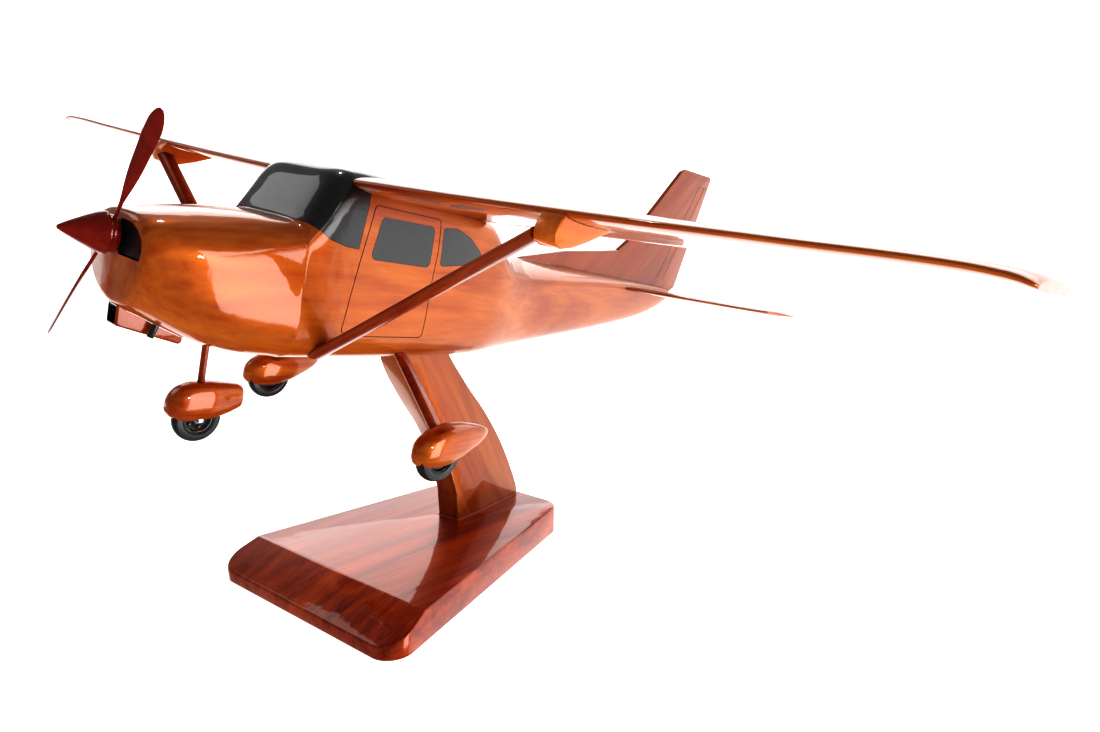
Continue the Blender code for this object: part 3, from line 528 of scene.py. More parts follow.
# black gloss paint, which also lines the wheel wells and the scoop's mouth as painted shade
black_gloss_and_painted_shade = black_lacquer()
beech = bare_beech()
rubber = speckled(
    "tyre_rubber",
    2200,
    ((0.008, 0.008, 0.009), (0.030, 0.031, 0.032)),
    (0.30, 0.48),
    detail=4.0,
    relief=(0.15, 0.00008),
    Metallic=0.0,
    IOR=1.5,
    Coat_Weight=0.35,
    Coat_Roughness=0.18,
)
bright = speckled(
    "bright_metal",
    3000,
    ((0.50, 0.50, 0.52), (0.74, 0.74, 0.76)),
    (0.16, 0.30),
    relief=(0.08, 0.00004),
    Metallic=1.0,
    IOR=1.5,
)
disc_paint = speckled(
    "wheel_disc_black",
    1800,
    ((0.02, 0.02, 0.022), (0.06, 0.06, 0.065)),
    (0.25, 0.45),
    Metallic=0.6,
    IOR=1.5,
    Coat_Weight=0.6,
    Coat_Roughness=0.1,
)
engraved = speckled(
    "engraved_line",
    1500,
    ((0.09, 0.018, 0.006), (0.17, 0.035, 0.010)),
    (0.4, 0.6),
    detail=2.0,
    grain=0.5,
    Metallic=0.0,
    IOR=1.5,
    Coat_Weight=0.4,
    Coat_Roughness=0.2,
)


# ---------------------------------------------------------------- mesh tools
def settle(obj):
    """Bakes an object's modifiers into its mesh."""
    bpy.context.view_layer.update()
    graph = bpy.context.evaluated_depsgraph_get()
    mesh = bpy.data.meshes.new_from_object(obj.evaluated_get(graph), depsgraph=graph)
    old = obj.data
    obj.modifiers.clear()
    obj.data = mesh
    bpy.data.meshes.remove(old)


def loose(name, mesh, shader=None):
    """An object in the scene that isn't a piece yet, such as a cutter."""
    made = bpy.data.objects.new(name, mesh)
    bpy.context.scene.collection.objects.link(made)
    if shader is not None:
        mesh.materials.append(shader.material)
    return made


def boolean(target, tools, operation="DIFFERENCE"):
    """Cuts or joins with every tool, keeps the tools' materials on the new faces, and removes the tools."""
    for tool in tools:
        step = target.modifiers.new("step", "BOOLEAN")
        step.operation = operation
        step.object = tool
        step.solver = "EXACT"
        step.material_mode = "TRANSFER"
    settle(target)
    for tool in tools:
        bpy.data.objects.remove(tool, do_unlink=True)


def shade(mesh):
    mesh.shade_smooth()
    mesh.set_sharp_from_angle(angle=math.radians(32))


def piece(obj, body, *nodes, slot, place=AIRFRAME, matched=None):
    """Turns a finished object into a piece that rides on a body and stands for its CAD nodes."""
    obj.data.transform(place)
    shade(obj.data)
    if matched is not None:
        keep_gloss(obj.data, matched, place)
    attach(obj, body)
    if nodes:
        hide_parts(*nodes)


def outward(mesh):
    """Turns every face of a closed mesh to look outwards."""
    shape = bmesh.new()
    shape.from_mesh(mesh)
    bmesh.ops.recalc_face_normals(shape, faces=shape.faces)
    shape.to_mesh(mesh)
    shape.free()
    return mesh


def solid(name, points, faces, shader):
    mesh = bpy.data.meshes.new(name)
    mesh.from_pydata(np.reshape(points, (-1, 3)).tolist(), [], faces)
    return loose(name, outward(mesh), shader)


def skin(name, rings, shader=None):
    """A closed loft over rings of equal point count, in metres."""
    rings = np.asarray(rings, float)
    count, width = rings.shape[:2]
    faces = []
    for i in range(count - 1):
        for j in range(width):
            k = (j + 1) % width
            faces.append((i * width + j, i * width + k, (i + 1) * width + k, (i + 1) * width + j))
    faces.append(tuple(range(width)))
    faces.append(tuple(range((count - 1) * width, count * width)))
    return solid(name, rings, faces, shader)


def prism(name, outline, low, high, shader, unit=INCH):
    """A flat-faced solid with a side-view outline of (aft, up), from butt line `low` to `high`."""
    rings = [[(line, a, z) for a, z in outline] for line in (low, high)]
    return skin(name, np.array(rings) * unit, shader)


def slab(name, outline, side, inner, outer, shader):
    """A prism on one side of the aircraft, between two distances from its middle."""
    low, high = sorted((side * inner, side * outer))
    return prism(name, outline, low, high, shader)


def rounded(corners, radius, steps=8):
    """An outline with every corner replaced by an arc."""
    points = []
    count = len(corners)
    for i in range(count):
        corner = Vector(corners[i])
        before = (Vector(corners[i - 1]) - corner).normalized()
        after = (Vector(corners[(i + 1) % count]) - corner).normalized()
        half = before.angle(after) / 2
        centre = corner + (before + after).normalized() * radius / math.sin(half)
        start = corner + before * radius / math.tan(half) - centre
        end = corner + after * radius / math.tan(half) - centre
        for k in range(steps + 1):
            points.append(tuple(centre + start.lerp(end, k / steps).normalized() * radius))
    return points


def grown(corners, by):
    """An outline moved outwards by an even distance."""
    corners = list(corners)
    area = sum(a[0] * b[1] - b[0] * a[1] for a, b in zip(corners, corners[1:] + corners[:1]))
    turn = math.copysign(1, area)
    moved = []
    for i, corner in enumerate(corners):
        before = (Vector(corner) - Vector(corners[i - 1])).normalized()
        after = (Vector(corners[(i + 1) % len(corners)]) - Vector(corner)).normalized()
        first = Vector((before.y, -before.x)) * turn
        second = Vector((after.y, -after.x)) * turn
        moved.append(tuple(Vector(corner) + (first + second) * by / (1 + first.dot(second))))
    return moved


def oval(width, height, count, power=2.0):
    """A superellipse from its half width and half height."""
    angles = np.arange(count) * 2 * math.pi / count
    c, s = np.cos(angles), np.sin(angles)
    x = width * np.sign(c) * np.abs(c) ** (2 / power)
    y = height * np.sign(s) * np.abs(s) ** (2 / power)
    return np.stack([x, y], 1)


def smooth_rows(rows, places):
    """Rows of a table at new places in its first column, on a curve that never overshoots."""
    table = np.array(rows, float)
    x, y = table[:, 0], table[:, 1:]
    step = np.diff(x)[:, None]
    slope = np.diff(y, axis=0) / step
    tangent = np.zeros_like(y)
    same = slope[:-1] * slope[1:] > 0
    weight = 2 * step[1:] + step[:-1], step[1:] + 2 * step[:-1]
    with np.errstate(divide="ignore", invalid="ignore"):
        mean = (weight[0] + weight[1]) / (weight[0] / slope[:-1] + weight[1] / slope[1:])
    tangent[1:-1] = np.where(same, mean, 0)
    tangent[0], tangent[-1] = slope[0], slope[-1]
    places = np.asarray(places, float)
    i = np.clip(np.searchsorted(x, places, side="right") - 1, 0, len(x) - 2)
    t = ((places - x[i]) / (x[i + 1] - x[i]))[:, None]
    h = (x[i + 1] - x[i])[:, None]
    curve = (2 * t**3 - 3 * t**2 + 1) * y[i] + (t**3 - 2 * t**2 + t) * h * tangent[i]
    curve += (3 * t**2 - 2 * t**3) * y[i + 1] + (t**3 - t**2) * h * tangent[i + 1]
    return np.concatenate([places[:, None], curve], axis=1)


def spread(rows, gap, least=2):
    """Places along a table's first column, at least `least` per row and no further apart than `gap`."""
    places = [rows[0][0]]
    for first, second in zip(rows, rows[1:]):
        count = max(least, math.ceil((second[0] - first[0]) / gap))
        places.extend(np.linspace(first[0], second[0], count + 1)[1:])
    return places


def flowing(points, steps):
    """A smooth curve through every point."""
    knots = [Vector(point) for point in points]
    knots = [2 * knots[0] - knots[1]] + knots + [2 * knots[-1] - knots[-2]]
    edge = []
    for a, b, c, d in zip(knots, knots[1:], knots[2:], knots[3:]):
        for k in range(steps):
            t = k / steps
            bend = (2 * a - 5 * b + 4 * c - d) * t**2 + (3 * b - a - 3 * c + d) * t**3
            edge.append(0.5 * (2 * b + (c - a) * t + bend))
    edge.append(knots[-2])
    return edge


def turned(name, profile, steps, axis, place, shader, closed=False):
    """A solid turned about an axis of the aircraft. The profile is (radius, along) in inches."""
    along = Vector(axis)
    side = along.orthogonal().normalized()
    other = along.cross(side)
    rings = []
    for k in range(steps):
        angle = 2 * math.pi * k / steps
        out = side * math.cos(angle) + other * math.sin(angle)
        rings.append([(Vector(place) + out * r + along * h) * INCH for r, h in profile])
    width = len(profile)
    faces = []
    for i in range(steps):
        n = (i + 1) % steps
        for j in range(width if closed else width - 1):
            k = (j + 1) % width
            faces.append((i * width + j, i * width + k, n * width + k, n * width + j))
    if not closed:
        faces.append(tuple(i * width for i in range(steps)))
        faces.append(tuple(i * width + width - 1 for i in range(steps)))
    return solid(name, [[tuple(p) for p in ring] for ring in rings], faces, shader)


def mirrored(profile):
    """A turned profile followed by its own mirror image."""
    return [*profile, *((r, -h) for r, h in reversed(profile))]


def softened(obj, width, segments=3, degrees=30):
    """Rounds the hard edges of a solid."""
    edge = obj.modifiers.new("edge", "BEVEL")
    edge.width = width
    edge.segments = segments
    edge.limit_method = "ANGLE"
    edge.angle_limit = math.radians(degrees)
    settle(obj)


def keep_gloss(mesh, source, place):
    """Where a face still lies on `source`, its corners take that mesh's own smooth normals, so that a cut
    leaves no mark in the gloss."""
    whole = source.copy()
    whole.transform(place)
    shade(whole)
    tree = BVHTree.FromPolygons([v.co for v in whole.vertices], [p.vertices for p in whole.polygons])
    smooth = [corner.vector.copy() for corner in whole.corner_normals]
    custom = [corner.vector.copy() for corner in mesh.corner_normals]
    for face in mesh.polygons:
        centre = face.center
        _, normal, _, distance = tree.find_nearest(centre)
        if distance > 0.00004 or normal.dot(face.normal) < 0.95:
            continue
        for loop in face.loop_indices:
            corner = mesh.vertices[mesh.loops[loop].vertex_index].co
            point, _, index, _ = tree.find_nearest(corner.lerp(centre, 0.02))
            near = whole.polygons[index]
            places = [whole.vertices[k].co for k in near.vertices]
            weights = poly_3d_calc(places, point)
            total = Vector()
            for weight, k in zip(weights, near.loop_indices):
                total += smooth[k] * weight
            custom[loop] = total.normalized()
    mesh.normals_split_custom_set(custom)
    bpy.data.meshes.remove(whole)


def carved(obj, tools, node):
    """Cuts a piece of the airframe and finishes it, with the gloss of its uncut faces kept."""
    whole = obj.data.copy()
    boolean(obj, tools)
    piece(obj, "airframe", node, slot="mahogany", matched=whole)
    bpy.data.meshes.remove(whole)


# ---------------------------------------------------------------- fuselage
def quadrant(half, reach, power, count):
    """Evenly spaced points of a superellipse's quarter, from the widest point to the top."""
    angle = np.linspace(0, math.pi / 2, 400)
    x = half * np.cos(angle).clip(0) ** (2 / power)
    z = reach * np.sin(angle).clip(0) ** (2 / power)
    along = np.concatenate([[0], np.cumsum(np.hypot(np.diff(x), np.diff(z)))])
    places = np.linspace(0, along[-1], count + 1)
    return np.interp(places, along, x), np.interp(places, along, z)


def body_ring(row, grow, count=28):
    """The fuselage's section at one station, from the port side over the top and round."""
    station, half, top, bottom, middle, upper, lower = row
    x, z = quadrant(half + grow, top - middle + grow, upper, count)
    u, w = quadrant(half + grow, middle - bottom + grow, lower, count)
    across = np.concatenate([x[:-1], -x[::-1][:-1], -u[:-1], u[::-1][:-1]])
    height = np.concatenate([z[:-1], z[::-1][:-1], -w[:-1], -w[::-1][:-1]])
    return np.stack([across, np.full(len(across), station), middle + height], 1)


def body(name, shader=None, grow=0.0, gap=SKIN_GAP):
    """The fuselage's skin, grown or shrunk by `grow`."""
    places = spread(BODY_STATIONS, gap, 3)
    rings = [body_ring(row, grow) for row in smooth_rows(BODY_STATIONS, places)]
    if grow > 0:
        rings[0] = rings[0] - (0, grow, 0)
        rings[-1] = rings[-1] + (0, grow, 0)
    return skin(name, np.array(rings) * INCH, shader)


def body_room(shader, grow=SEAM):
    """A cutter with the fuselage's shape, for what meets or lies in its surface."""
    return body("body_room", shader, grow, CUTTER_GAP)


def build_canopy(whole):
    """The windshield and roof glass. Returns the cutter of their pocket."""
    canopy = body("windshield", black_gloss_and_painted_shade)
    boolean(canopy, [prism("canopy_block", CANOPY_SIDE, -30, 30, black_gloss_and_painted_shade)], "INTERSECT")
    piece(canopy, "airframe", "canopy", slot="black_lacquer", matched=whole)
    return prism("canopy_pocket", grown(CANOPY_SIDE, SEAM), -30.5, 30.5, black_gloss_and_painted_shade)


def build_window(label, outline, radius, inner, side, hand, whole):
    """One black pane, inlaid flush. Returns the cutter of its pocket."""
    pane = body(f"{label}_pane_{hand}", black_gloss_and_painted_shade)
    boolean(pane, [slab("blank", rounded(outline, radius), side, inner, WIDEST, black_gloss_and_painted_shade)], "INTERSECT")
    piece(pane, "airframe", f"{label}_{hand}", slot="black_lacquer", matched=whole)
    opening = rounded(grown(outline, SEAM), radius)
    return slab("pocket", opening, side, inner - CLEAR, WIDEST + 1, black_gloss_and_painted_shade)


def intake_recess(side):
    opening = rounded([(side * x, z) for x, z in INTAKE_CORNERS], 1.0)
    rings = [[(x, station, z) for x, z in opening] for station in INTAKE_STATIONS]
    return skin("intake_recess", np.array(rings) * INCH, black_gloss_and_painted_shade)


def door_groove(side):
    """The door's engraved outline: a thin frame that only reaches just under the surface."""
    line = rounded(DOOR_LINE, 1.5, 5)
    groove = slab("door_groove", grown(line, GROOVE_WIDTH / 2), side, 16, WIDEST, engraved)
    panel = slab("door_panel", grown(line, -GROOVE_WIDTH / 2), side, 14, WIDEST + 1, engraved)
    boolean(groove, [panel, body_room(engraved, -GROOVE_DEPTH)])
    return groove


def build_fuselage():
    whole = body("body_skin").data
    fuselage = body("fuselage_skin", fuselage_wood)
    cutters = [build_canopy(whole)]
    for side, hand in HANDS:
        cutters += [build_window(*window, side, hand, whole) for window in WINDOWS]
        cutters += [intake_recess(side), door_groove(side)]
    socket = ((SOCKET_RADIUS, -SOCKET_REACH), (SOCKET_RADIUS, SOCKET_REACH))
    cutters.append(turned("dowel_socket", socket, 40, (0, 0, 1), SOCKET_PLACE, beech))
    cutters.append(turned("shaft_hole", SHAFT_HOLE, 32, (0, 1, 0), SHAFT_HOLE_PLACE, engraved))
    boolean(fuselage, cutters)
    piece(fuselage, "airframe", "fuselage", slot="mahogany", matched=whole)
    bpy.data.meshes.remove(whole)


# ---------------------------------------------------------------- wings and tail
def airfoil(row, camber, grow, count=44):
    """A wing section, from the trailing edge over the top to the nose and back below."""
    line, leading_edge, chord, thickness, height, incidence, slant = row
    x = 0.5 - 0.5 * np.cos(np.linspace(0, math.pi, count))
    shape = 0.2969 * np.sqrt(x) - 0.126 * x - 0.3516 * x**2 + 0.2843 * x**3 - 0.1036 * x**4
    half = np.maximum(5 * thickness * shape, 0.004 * np.minimum(x * 30, 1))
    mean = 4 * camber * x * (1 - x) - x * math.sin(math.radians(incidence))
    rows = []
    for surface, order in ((1, slice(None, None, -1)), (-1, slice(1, None))):
        station = (leading_edge + chord * x + grow * (2 * x - 1))[order]
        z = (height + chord * (mean + surface * half) + surface * grow)[order]
        outward_line = line + slant * (station - leading_edge) / chord
        rows.append(np.stack([outward_line, station, z], 1))
    return np.concatenate(rows)


def lifting_surface(name, sections, side, camber, shader, grow=0.0):
    places = spread(sections, 4.0, 2)
    rings = [airfoil(row, camber, grow) for row in smooth_rows(sections, places)]
    return skin(name, np.array(rings) * (side * INCH, INCH, INCH), shader)


def build_wing(side, hand):
    wing = lifting_surface(f"wing_skin_{hand}", WING_SECTIONS, side, WING_CAMBER, wing_wood)
    carved(wing, [body_room(wing_wood)], f"wing_{hand}")


def build_stabilizer(side, hand):
    tail = lifting_surface(f"tailplane_{hand}", STABILIZER_SECTIONS, side, 0.0, wing_wood)
    carved(tail, [body_room(wing_wood)], f"stabilizer_{hand}")


def build_fin():
    """One board, with the rudder's hinge lines engraved on both sides."""
    fin = prism("fin", rounded(FIN_OUTLINE, 0.6, 4), -FIN_HALF, FIN_HALF, fin_wood)
    softened(fin, 0.5 * INCH, 4)
    marks = [body_room(fin_wood)]
    for start, end in HINGE_LINES:
        start, end = Vector(start), Vector(end)
        aside = (end - start).orthogonal().normalized() * GROOVE_WIDTH * 0.45
        strip = [start + aside, end + aside, end - aside, start - aside]
        for side, _ in HANDS:
            marks.append(slab("hinge_line", strip, side, FIN_HALF - 0.15, FIN_HALF + 0.5, engraved))
    boolean(fin, marks)
    piece(fin, "airframe", "fin_and_rudder", slot="mahogany")


# ---------------------------------------------------------------- propeller and spinner
def blade(flip):
    rings = []
    for radius, chord, thickness, pitch in smooth_rows(BLADE_SECTIONS, spread(BLADE_SECTIONS, 0.7, 3)):
        angle = math.radians(pitch)
        outline = oval(chord / 2, thickness / 2, 40)
        along = np.array((math.cos(angle), math.sin(angle), 0))
        across = np.array((-math.sin(angle), math.cos(angle), 0))
        middle = np.array((0, -BLADE_RAKE * (radius / PROPELLER_RADIUS) ** 0.8, radius))
        ring = middle + outline[:, :1] * along + outline[:, 1:] * across
        rings.append(ring * (flip, 1, flip))
    return skin("blade", np.array(rings) * INCH, propeller_wood)


def build_propeller():
    propeller = turned("propeller_hub", mirrored(HUB_HALF), 72, (0, 1, 0), (0, 0, 0), propeller_wood)
    boolean(propeller, [blade(1), blade(-1)], "UNION")
    forward = Matrix.Translation(Vector((0, PROPELLER_STATION * INCH, 0)))
    place = AIRFRAME @ (forward @ Matrix.Rotation(PROPELLER_ANGLE, 4, "Y"))
    piece(propeller, "propeller", "propeller", slot="dark_mahogany", place=place)


def build_spinner():
    rows = [(station, radius) for radius, station in SPINNER_PROFILE]
    cone = [(radius, station) for station, radius in smooth_rows(rows, spread(rows, 0.4, 3))]
    spinner = turned("spinner_cone", [*cone, *SPINNER_BACK], 72, (0, 1, 0), (0, 0, 0), propeller_wood)
    piece(spinner, "propeller", "spinner", slot="dark_mahogany")


# ---------------------------------------------------------------- scoop, exhaust, struts and legs
def build_scoop():
    scoop = prism("scoop", SCOOP_SIDE, -SCOOP_HALF, SCOOP_HALF, strut_wood)
    softened(scoop, 0.45 * INCH, 4)
    # the mouth's walls take the black: painted shade in the scoop's opening
    mouth = prism("mouth", SCOOP_MOUTH, -MOUTH_HALF, MOUTH_HALF, black_gloss_and_painted_shade)
    boolean(scoop, [body_room(strut_wood), mouth])
    piece(scoop, "airframe", "chin_scoop", slot="dark_mahogany")


def build_exhaust():
    axis = Matrix.Rotation(STUB_TILT, 3, "X") @ Vector((0, 0, 1))
    stub = turned("exhaust", STUB, 48, axis, STUB_PLACE, black_gloss_and_painted_shade)
    boolean(stub, [body_room(black_gloss_and_painted_shade)])
    piece(stub, "airframe", "exhaust_stub", slot="black_lacquer")


def bar(name, side, start, end, depth, thickness, shader):
    """A straight bar of oval section between two points, given for the port side."""
    start, end = (Vector((side * line, station, height)) for line, station, height in (start, end))
    line = (end - start).normalized()
    aft = (Vector((0, 1, 0)) - line * line.y).normalized()
    flat = line.cross(aft)
    section = oval(depth / 2, thickness / 2, 64)
    rings = []
    for k in range(9):
        middle = start.lerp(end, k / 8)
        rings.append([tuple((middle + aft * u + flat * v) * INCH) for u, v in section])
    return skin(name, rings, shader)


def fairing(name, sections, line, shader, grow=0.0):
    """A teardrop wheel fairing on the butt line `line`."""
    rings = []
    for station, width, height, middle in smooth_rows(sections, spread(sections, 0.5, 3)):
        section = oval(width + grow, height + grow, 64, 2.7)
        rings.append([(line + x, station, middle + z) for x, z in section])
    return skin(name, np.array(rings) * INCH, shader)


def build_strut_cuff(side, hand):
    """The wedge where the strut meets the wing, in a paler gold mahogany whose paleness is painted light."""
    inner, outer = CUFF_LINE - CUFF_HALF, CUFF_LINE + CUFF_HALF
    cuff = slab(f"strut_cuff_{hand}", CUFF_SIDE, side, inner, outer, cuff_wood_painted_light)
    softened(cuff, 0.45 * INCH, 3, 40)
    wing_room = lifting_surface("wing_room", WING_SECTIONS, side, WING_CAMBER, cuff_wood_painted_light, SEAM)
    boolean(cuff, [wing_room])
    piece(cuff, "airframe", f"strut_fairing_{hand}", slot="mahogany")


def build_lift_strut(side, hand):
    strut = bar(f"lift_strut_{hand}", side, *LIFT_STRUT, strut_wood)
    beyond = ((55, 5), (85, 5), (85, 40), (55, 40))
    trimmer = slab("trimmer", beyond, side, CUFF_LINE - CUFF_HALF - SEAM, CUFF_LINE + 20, strut_wood)
    boolean(strut, [body_room(strut_wood), trimmer])
    piece(strut, "airframe", f"wing_strut_{hand}", slot="dark_mahogany")


def build_main_leg(side, hand):
    leg = bar(f"leg_{hand}", side, *MAIN_LEG, strut_wood)
    spat_room = fairing("spat_room", MAIN_FAIRING, side * MAIN_WHEEL[0], strut_wood, SEAM)
    boolean(leg, [body_room(strut_wood), spat_room])
    piece(leg, "airframe", f"main_leg_{hand}", slot="dark_mahogany")


def build_nose_leg():
    leg = turned("nose_leg", NOSE_LEG, 48, (0, 0, 1), NOSE_LEG_PLACE, strut_wood)
    boolean(leg, [body_room(strut_wood)])
    piece(leg, "airframe", "nose_strut", slot="mahogany")


# ---------------------------------------------------------------- wheels
def build_tyre(tag, place, radius, width):
    """A tyre with a sidewall bead and a groove on each shoulder. The wheel's body has the name `tag`."""
    inner = RIM_RADIUS * radius
    crown = 0.16 * radius
    wall = radius - 1.6 * crown
    bead = [(inner, RIM_HALF * width), (inner + 0.25, 0.47 * width), (inner + 0.5, 0.455 * width)]
    bead += [(wall - 0.3, 0.5 * width), (wall, 0.5 * width)]
    tread = []
    for k in range(17):
        angle = math.radians(64 - 8 * k)
        r = radius - crown * (1 - math.cos(angle))
        h = 0.5 * width * math.sin(angle)
        tread.append((r, h))
        if k in (5, 11):
            tread += [(r - 0.12, h - 0.06), (r - 0.12, h - 0.16)]
    far_bead = [(r, -h) for r, h in reversed(bead)]
    profile = bead + tread + far_bead
    tyre = turned(f"{tag}_rubber", profile, 120, (1, 0, 0), place, rubber, closed=True)
    piece(tyre, tag, f"{tag}_tyre", slot="tyre_rubber")


def build_disc(tag, place, radius, width):
    """The dished black centre with its five bolts, and the bright ring round it."""
    rim = RIM_RADIUS * radius - SEAM
    half = RIM_HALF * width
    ring = mirrored([(rim - 0.35, half * 0.9), (rim - 0.2, half), (rim, half * 0.96)])
    bright_ring = turned(f"{tag}_rim", ring, 96, (1, 0, 0), place, bright, closed=True)
    piece(bright_ring, tag, slot="bright_metal")

    bore = AXLE_RADIUS + 0.1 * MM / INCH
    face = [(bore, half * 0.95), (0.2 * radius, half * 0.95), (0.26 * radius, half * 0.55)]
    face += [(0.4 * radius, half * 0.42), (rim - 0.75, half * 0.6), (rim - 0.4, half * 0.86)]
    disc = turned(f"{tag}_disc", mirrored(face), 96, (1, 0, 0), place, disc_paint, closed=True)
    bolts = []
    for k in range(5):
        angle = 2 * math.pi * k / 5
        aft, up = (0.38 * radius * turn(angle) for turn in (math.cos, math.sin))
        for out in (1, -1):
            head = [(r, out * h) for r, h in BOLT_HEAD][::out]
            spot = Vector(place) + Vector((out * half * 0.36, aft, up))
            bolts.append(turned("bolt", head, 20, (1, 0, 0), spot, disc_paint))
    boolean(disc, bolts, "UNION")
    piece(disc, tag, f"{tag}_hub", slot="bright_metal")


def drum(name, radius, width, place, shader, steps=96):
    profile = [(radius, -width / 2), (radius, width / 2)]
    return turned(name, profile, steps, (1, 0, 0), place, shader)


def build_spat(tag, sections, place, radius, width, extra=()):
    """A wheel's fairing with its well and axle hole, whose walls are lined black as painted shade."""
    shell = fairing(f"{tag}_spat", sections, place[0], fairing_wood)
    # the well's and the axle hole's walls take this black: painted shade in the gap round the tyre
    well = drum("well", radius + WELL_GAP, width + 2 * CLEAR, place, black_gloss_and_painted_shade)
    axle_room = width + AXLE_EXTRA + 2 * SEAM
    axle_hole = drum("axle_hole", AXLE_RADIUS + SEAM, axle_room, place, black_gloss_and_painted_shade, 32)
    carved(shell, [well, axle_hole, *extra], f"{tag}_fairing")


def build_wheel(tag, place, radius, width):
    build_tyre(tag, place, radius, width)
    build_disc(tag, place, radius, width)


def build_landing_gear():
    leg_hole = turned("leg_hole", NOSE_LEG_HOLE, 40, (0, 0, 1), NOSE_LEG_PLACE, fairing_wood)
    build_spat("nose_wheel", NOSE_FAIRING, NOSE_WHEEL, *NOSE_TYRE, [leg_hole])
    build_wheel("nose_wheel", NOSE_WHEEL, *NOSE_TYRE)
    for side, hand in HANDS:
        tag = f"main_wheel_{hand}"
        place = (side * MAIN_WHEEL[0], *MAIN_WHEEL[1:])
        build_spat(tag, MAIN_FAIRING, place, *MAIN_TYRE)
        build_wheel(tag, place, *MAIN_TYRE)
    build_nose_leg()


# ---------------------------------------------------------------- stand
def build_base():
    """A tapered board with rounded corners and a sloping front."""
    half = BASE_LENGTH / 2
    front, rear = BASE_FRONT_WIDTH / 2, BASE_REAR_WIDTH / 2
    corners = ((-front, -half), (front, -half), (rear, half), (-rear, half))
    plan = rounded(corners, BASE_CORNER, 14)
    rings = [[(x, y, z) for x, y in plan] for z in (0, BASE_THICKNESS)]
    base = skin("base_block", np.array(rings) * MM, base_wood)
    slope = (
        (-half + BEVEL_RUN, BASE_THICKNESS),
        (-half + BEVEL_RUN, 2 * BASE_THICKNESS),
        (-half - BEVEL_RUN, 2 * BASE_THICKNESS),
        (-half - BEVEL_RUN, BASE_THICKNESS - 2 * BEVEL_DROP),
    )
    boolean(base, [prism("slope", slope, -70, 70, base_wood, MM)])
    softened(base, 0.8 * MM, 4, 15)
    piece(base, "stand", "stand_base", slot="mahogany", place=STAND)


def build_arm():
    """A curved plank whose top is cut to the belly."""
    side_view = [tuple(p) for p in flowing(ARM_FRONT_EDGE, 10) + flowing(ARM_REAR_EDGE, 10)[::-1]]
    arm = prism("arm_plank", side_view, -ARM_THICKNESS / 2, ARM_THICKNESS / 2, arm_wood, MM)
    softened(arm, 0.5 * MM, 3)
    arm.data.transform(AIRFRAME.inverted())
    boolean(arm, [body_room(arm_wood, CLEAR)])
    piece(arm, "stand", "stand_arm", slot="dark_mahogany")


def build_arm_bead():
    """Varnish that has run into the corner round the arm's foot."""
    bead = bpy.data.curves.new("arm_glue_line", "CURVE")
    bead.dimensions = "3D"
    bead.bevel_depth = 0.4 * MM
    bead.bevel_resolution = 3
    half = ARM_THICKNESS / 2 + 0.1
    front, rear = FOOT
    path = rounded(((-half, front), (half, front), (half, rear), (-half, rear)), 0.8, 5)
    line = bead.splines.new("POLY")
    line.points.add(len(path) - 1)
    for point, (x, y) in zip(line.points, path):
        point.co = (x * MM, y * MM, (BASE_THICKNESS + 0.1) * MM, 1)
    line.use_cyclic_u = True
    bead.materials.append(arm_wood.material)
    bead_object = bpy.data.objects.new("arm_glue_line", bead)
    bpy.context.scene.collection.objects.link(bead_object)
    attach(bead_object, "stand")


def dress_kept_nodes():
    """Materials for the CAD nodes that stay in view: intake inlays, dowels, screws, shaft and axles."""
    for name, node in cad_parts.items():
        if node.hide_render:
            continue
        look = beech if "dowel" in name or "peg" in name else bright
        if "intake" in name:
            look = black_gloss_and_painted_shade
        node.data.materials.clear()
        node.data.materials.append(look.material)


# ---------------------------------------------------------------- floor, light and camera
def glowing_white(name, rough, glow, scale, low, high):
    """A faintly mottled white that also shines, so that it comes out white in the picture."""
    made = Shader(name, Roughness=rough, Emission_Strength=glow)
    mottle = made.noise(made.coordinates, 2.0, 0.5, scale=scale)
    made.feed("Base Color", made.ramp(mottle, [(0.3, (low,) * 3), (0.7, (high,) * 3)]))
    made.feed("Emission Color", made.ramp(mottle, [(0.3, (0.99,) * 3), (0.7, (1.0,) * 3)]))
    return made


def stage_object(name, shape, paint):
    """An object from a BMesh, which it frees."""
    mesh = bpy.data.meshes.new(name)
    shape.to_mesh(mesh)
    shape.free()
    return loose(name, mesh, paint)


def build_stage():
    """A white floor that doesn't show in the gloss, and a white surround for the camera alone."""
    ground = bmesh.new()
    bmesh.ops.create_circle(ground, cap_ends=True, segments=96, radius=8.0)
    floor = stage_object("floor", ground, glowing_white("floor_white", 0.9, 0.95, 3, 0.80, 0.82))
    floor.location.z = -0.0005
    floor.visible_glossy = False

    surround = bmesh.new()
    bmesh.ops.create_uvsphere(surround, u_segments=64, v_segments=32, radius=7.9)
    bmesh.ops.reverse_faces(surround, faces=surround.faces)
    paint = glowing_white("backdrop_white", 1.0, 1.0, 0.4, 0.79, 0.81)
    backdrop = stage_object("backdrop", surround, paint)
    for kind in ("diffuse", "glossy", "transmission", "volume_scatter", "shadow"):
        setattr(backdrop, f"visible_{kind}", False)


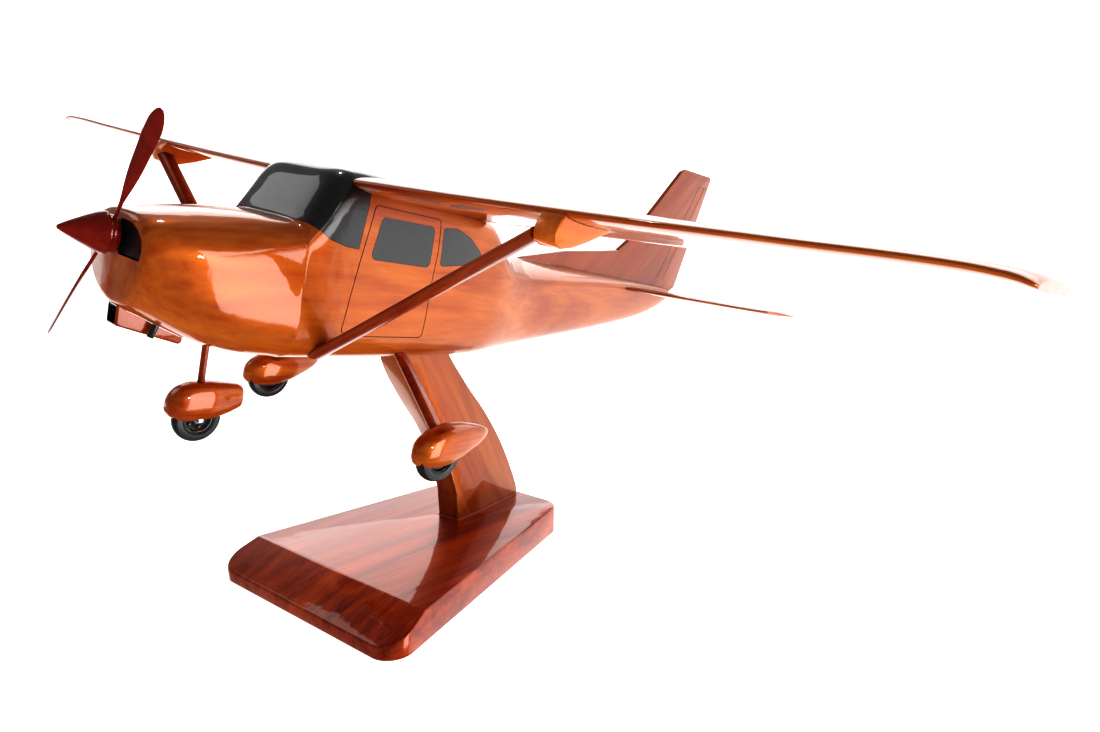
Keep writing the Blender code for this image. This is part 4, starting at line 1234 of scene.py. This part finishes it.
def paint_studio(nodes):
    """A dim room with the bright patches of STUDIO_PATCHES, painted by direction in the world."""

    def between(value, low, high, soft):
        rise = nodes.span(value, low - soft, low + soft)
        fall = nodes.span(value, high - soft, high + soft, 1.0, 0.0)
        return nodes.maths("MULTIPLY", rise, fall)

    split = nodes.node("ShaderNodeSeparateXYZ")
    nodes.link(nodes.node("ShaderNodeTexCoord").outputs["Generated"], split.inputs[0])
    x, y, z = split.outputs
    azimuth = nodes.maths("DEGREES", nodes.maths("ARCTAN2", y, x))
    elevation = nodes.maths("DEGREES", nodes.maths("ARCSINE", z))
    round_room = nodes.maths("MODULO", nodes.maths("ADD", azimuth, 360 - DARK_CORNER), 360)
    light = AMBIENT
    for across, upward, strength in STUDIO_PATCHES:
        patch = nodes.maths("MULTIPLY", between(round_room, *across), between(elevation, *upward))
        light = nodes.maths("ADD", light, nodes.maths("MULTIPLY", patch, strength))
    background = nodes.tree.nodes["Background"]
    nodes.link(light, background.inputs["Strength"])
    background.inputs["Color"].default_value = (1, 1, 1, 1)


def soft_box(name, place, target, size, radiance):
    """A square area light that shines from `place` to `target`; its brightness doesn't depend on its size."""
    data = bpy.data.lights.new(name, "AREA")
    data.size = size
    data.energy = radiance * math.pi * size * size
    lamp = bpy.data.objects.new(name, data)
    bpy.context.scene.collection.objects.link(lamp)
    lamp.location = place
    lamp.rotation_euler = (Vector(target) - Vector(place)).to_track_quat("-Z", "Y").to_euler()


def light_scene():
    world = bpy.data.worlds.new("studio")
    bpy.context.scene.world = world
    world.use_nodes = True
    paint_studio(Nodes(world.node_tree))
    for box in SOFT_BOXES:
        soft_box(*box)


def place_camera(scene):
    """The photograph's viewpoint, and the contrast of its retouched print."""
    scene.view_settings.view_transform = "Standard"
    scene.view_settings.look = "High Contrast"
    camera_data = bpy.data.cameras.new("camera")
    camera_data.lens = CAMERA_LENS
    camera_data.sensor_width = 36
    camera_data.clip_start = 0.01
    camera = bpy.data.objects.new("camera", camera_data)
    scene.collection.objects.link(camera)
    camera.location = CAMERA_PLACE
    camera.rotation_euler = CAMERA_TURN
    scene.camera = camera


# ---------------------------------------------------------------- the whole scene
build_fuselage()
for side, hand in HANDS:
    build_wing(side, hand)
    build_stabilizer(side, hand)
build_fin()
build_propeller()
build_spinner()
build_scoop()
build_exhaust()
for side, hand in HANDS:
    build_strut_cuff(side, hand)
    build_lift_strut(side, hand)
    build_main_leg(side, hand)
build_landing_gear()
build_base()
build_arm()
build_arm_bead()
dress_kept_nodes()
build_stage()
light_scene()
place_camera(bpy.context.scene)
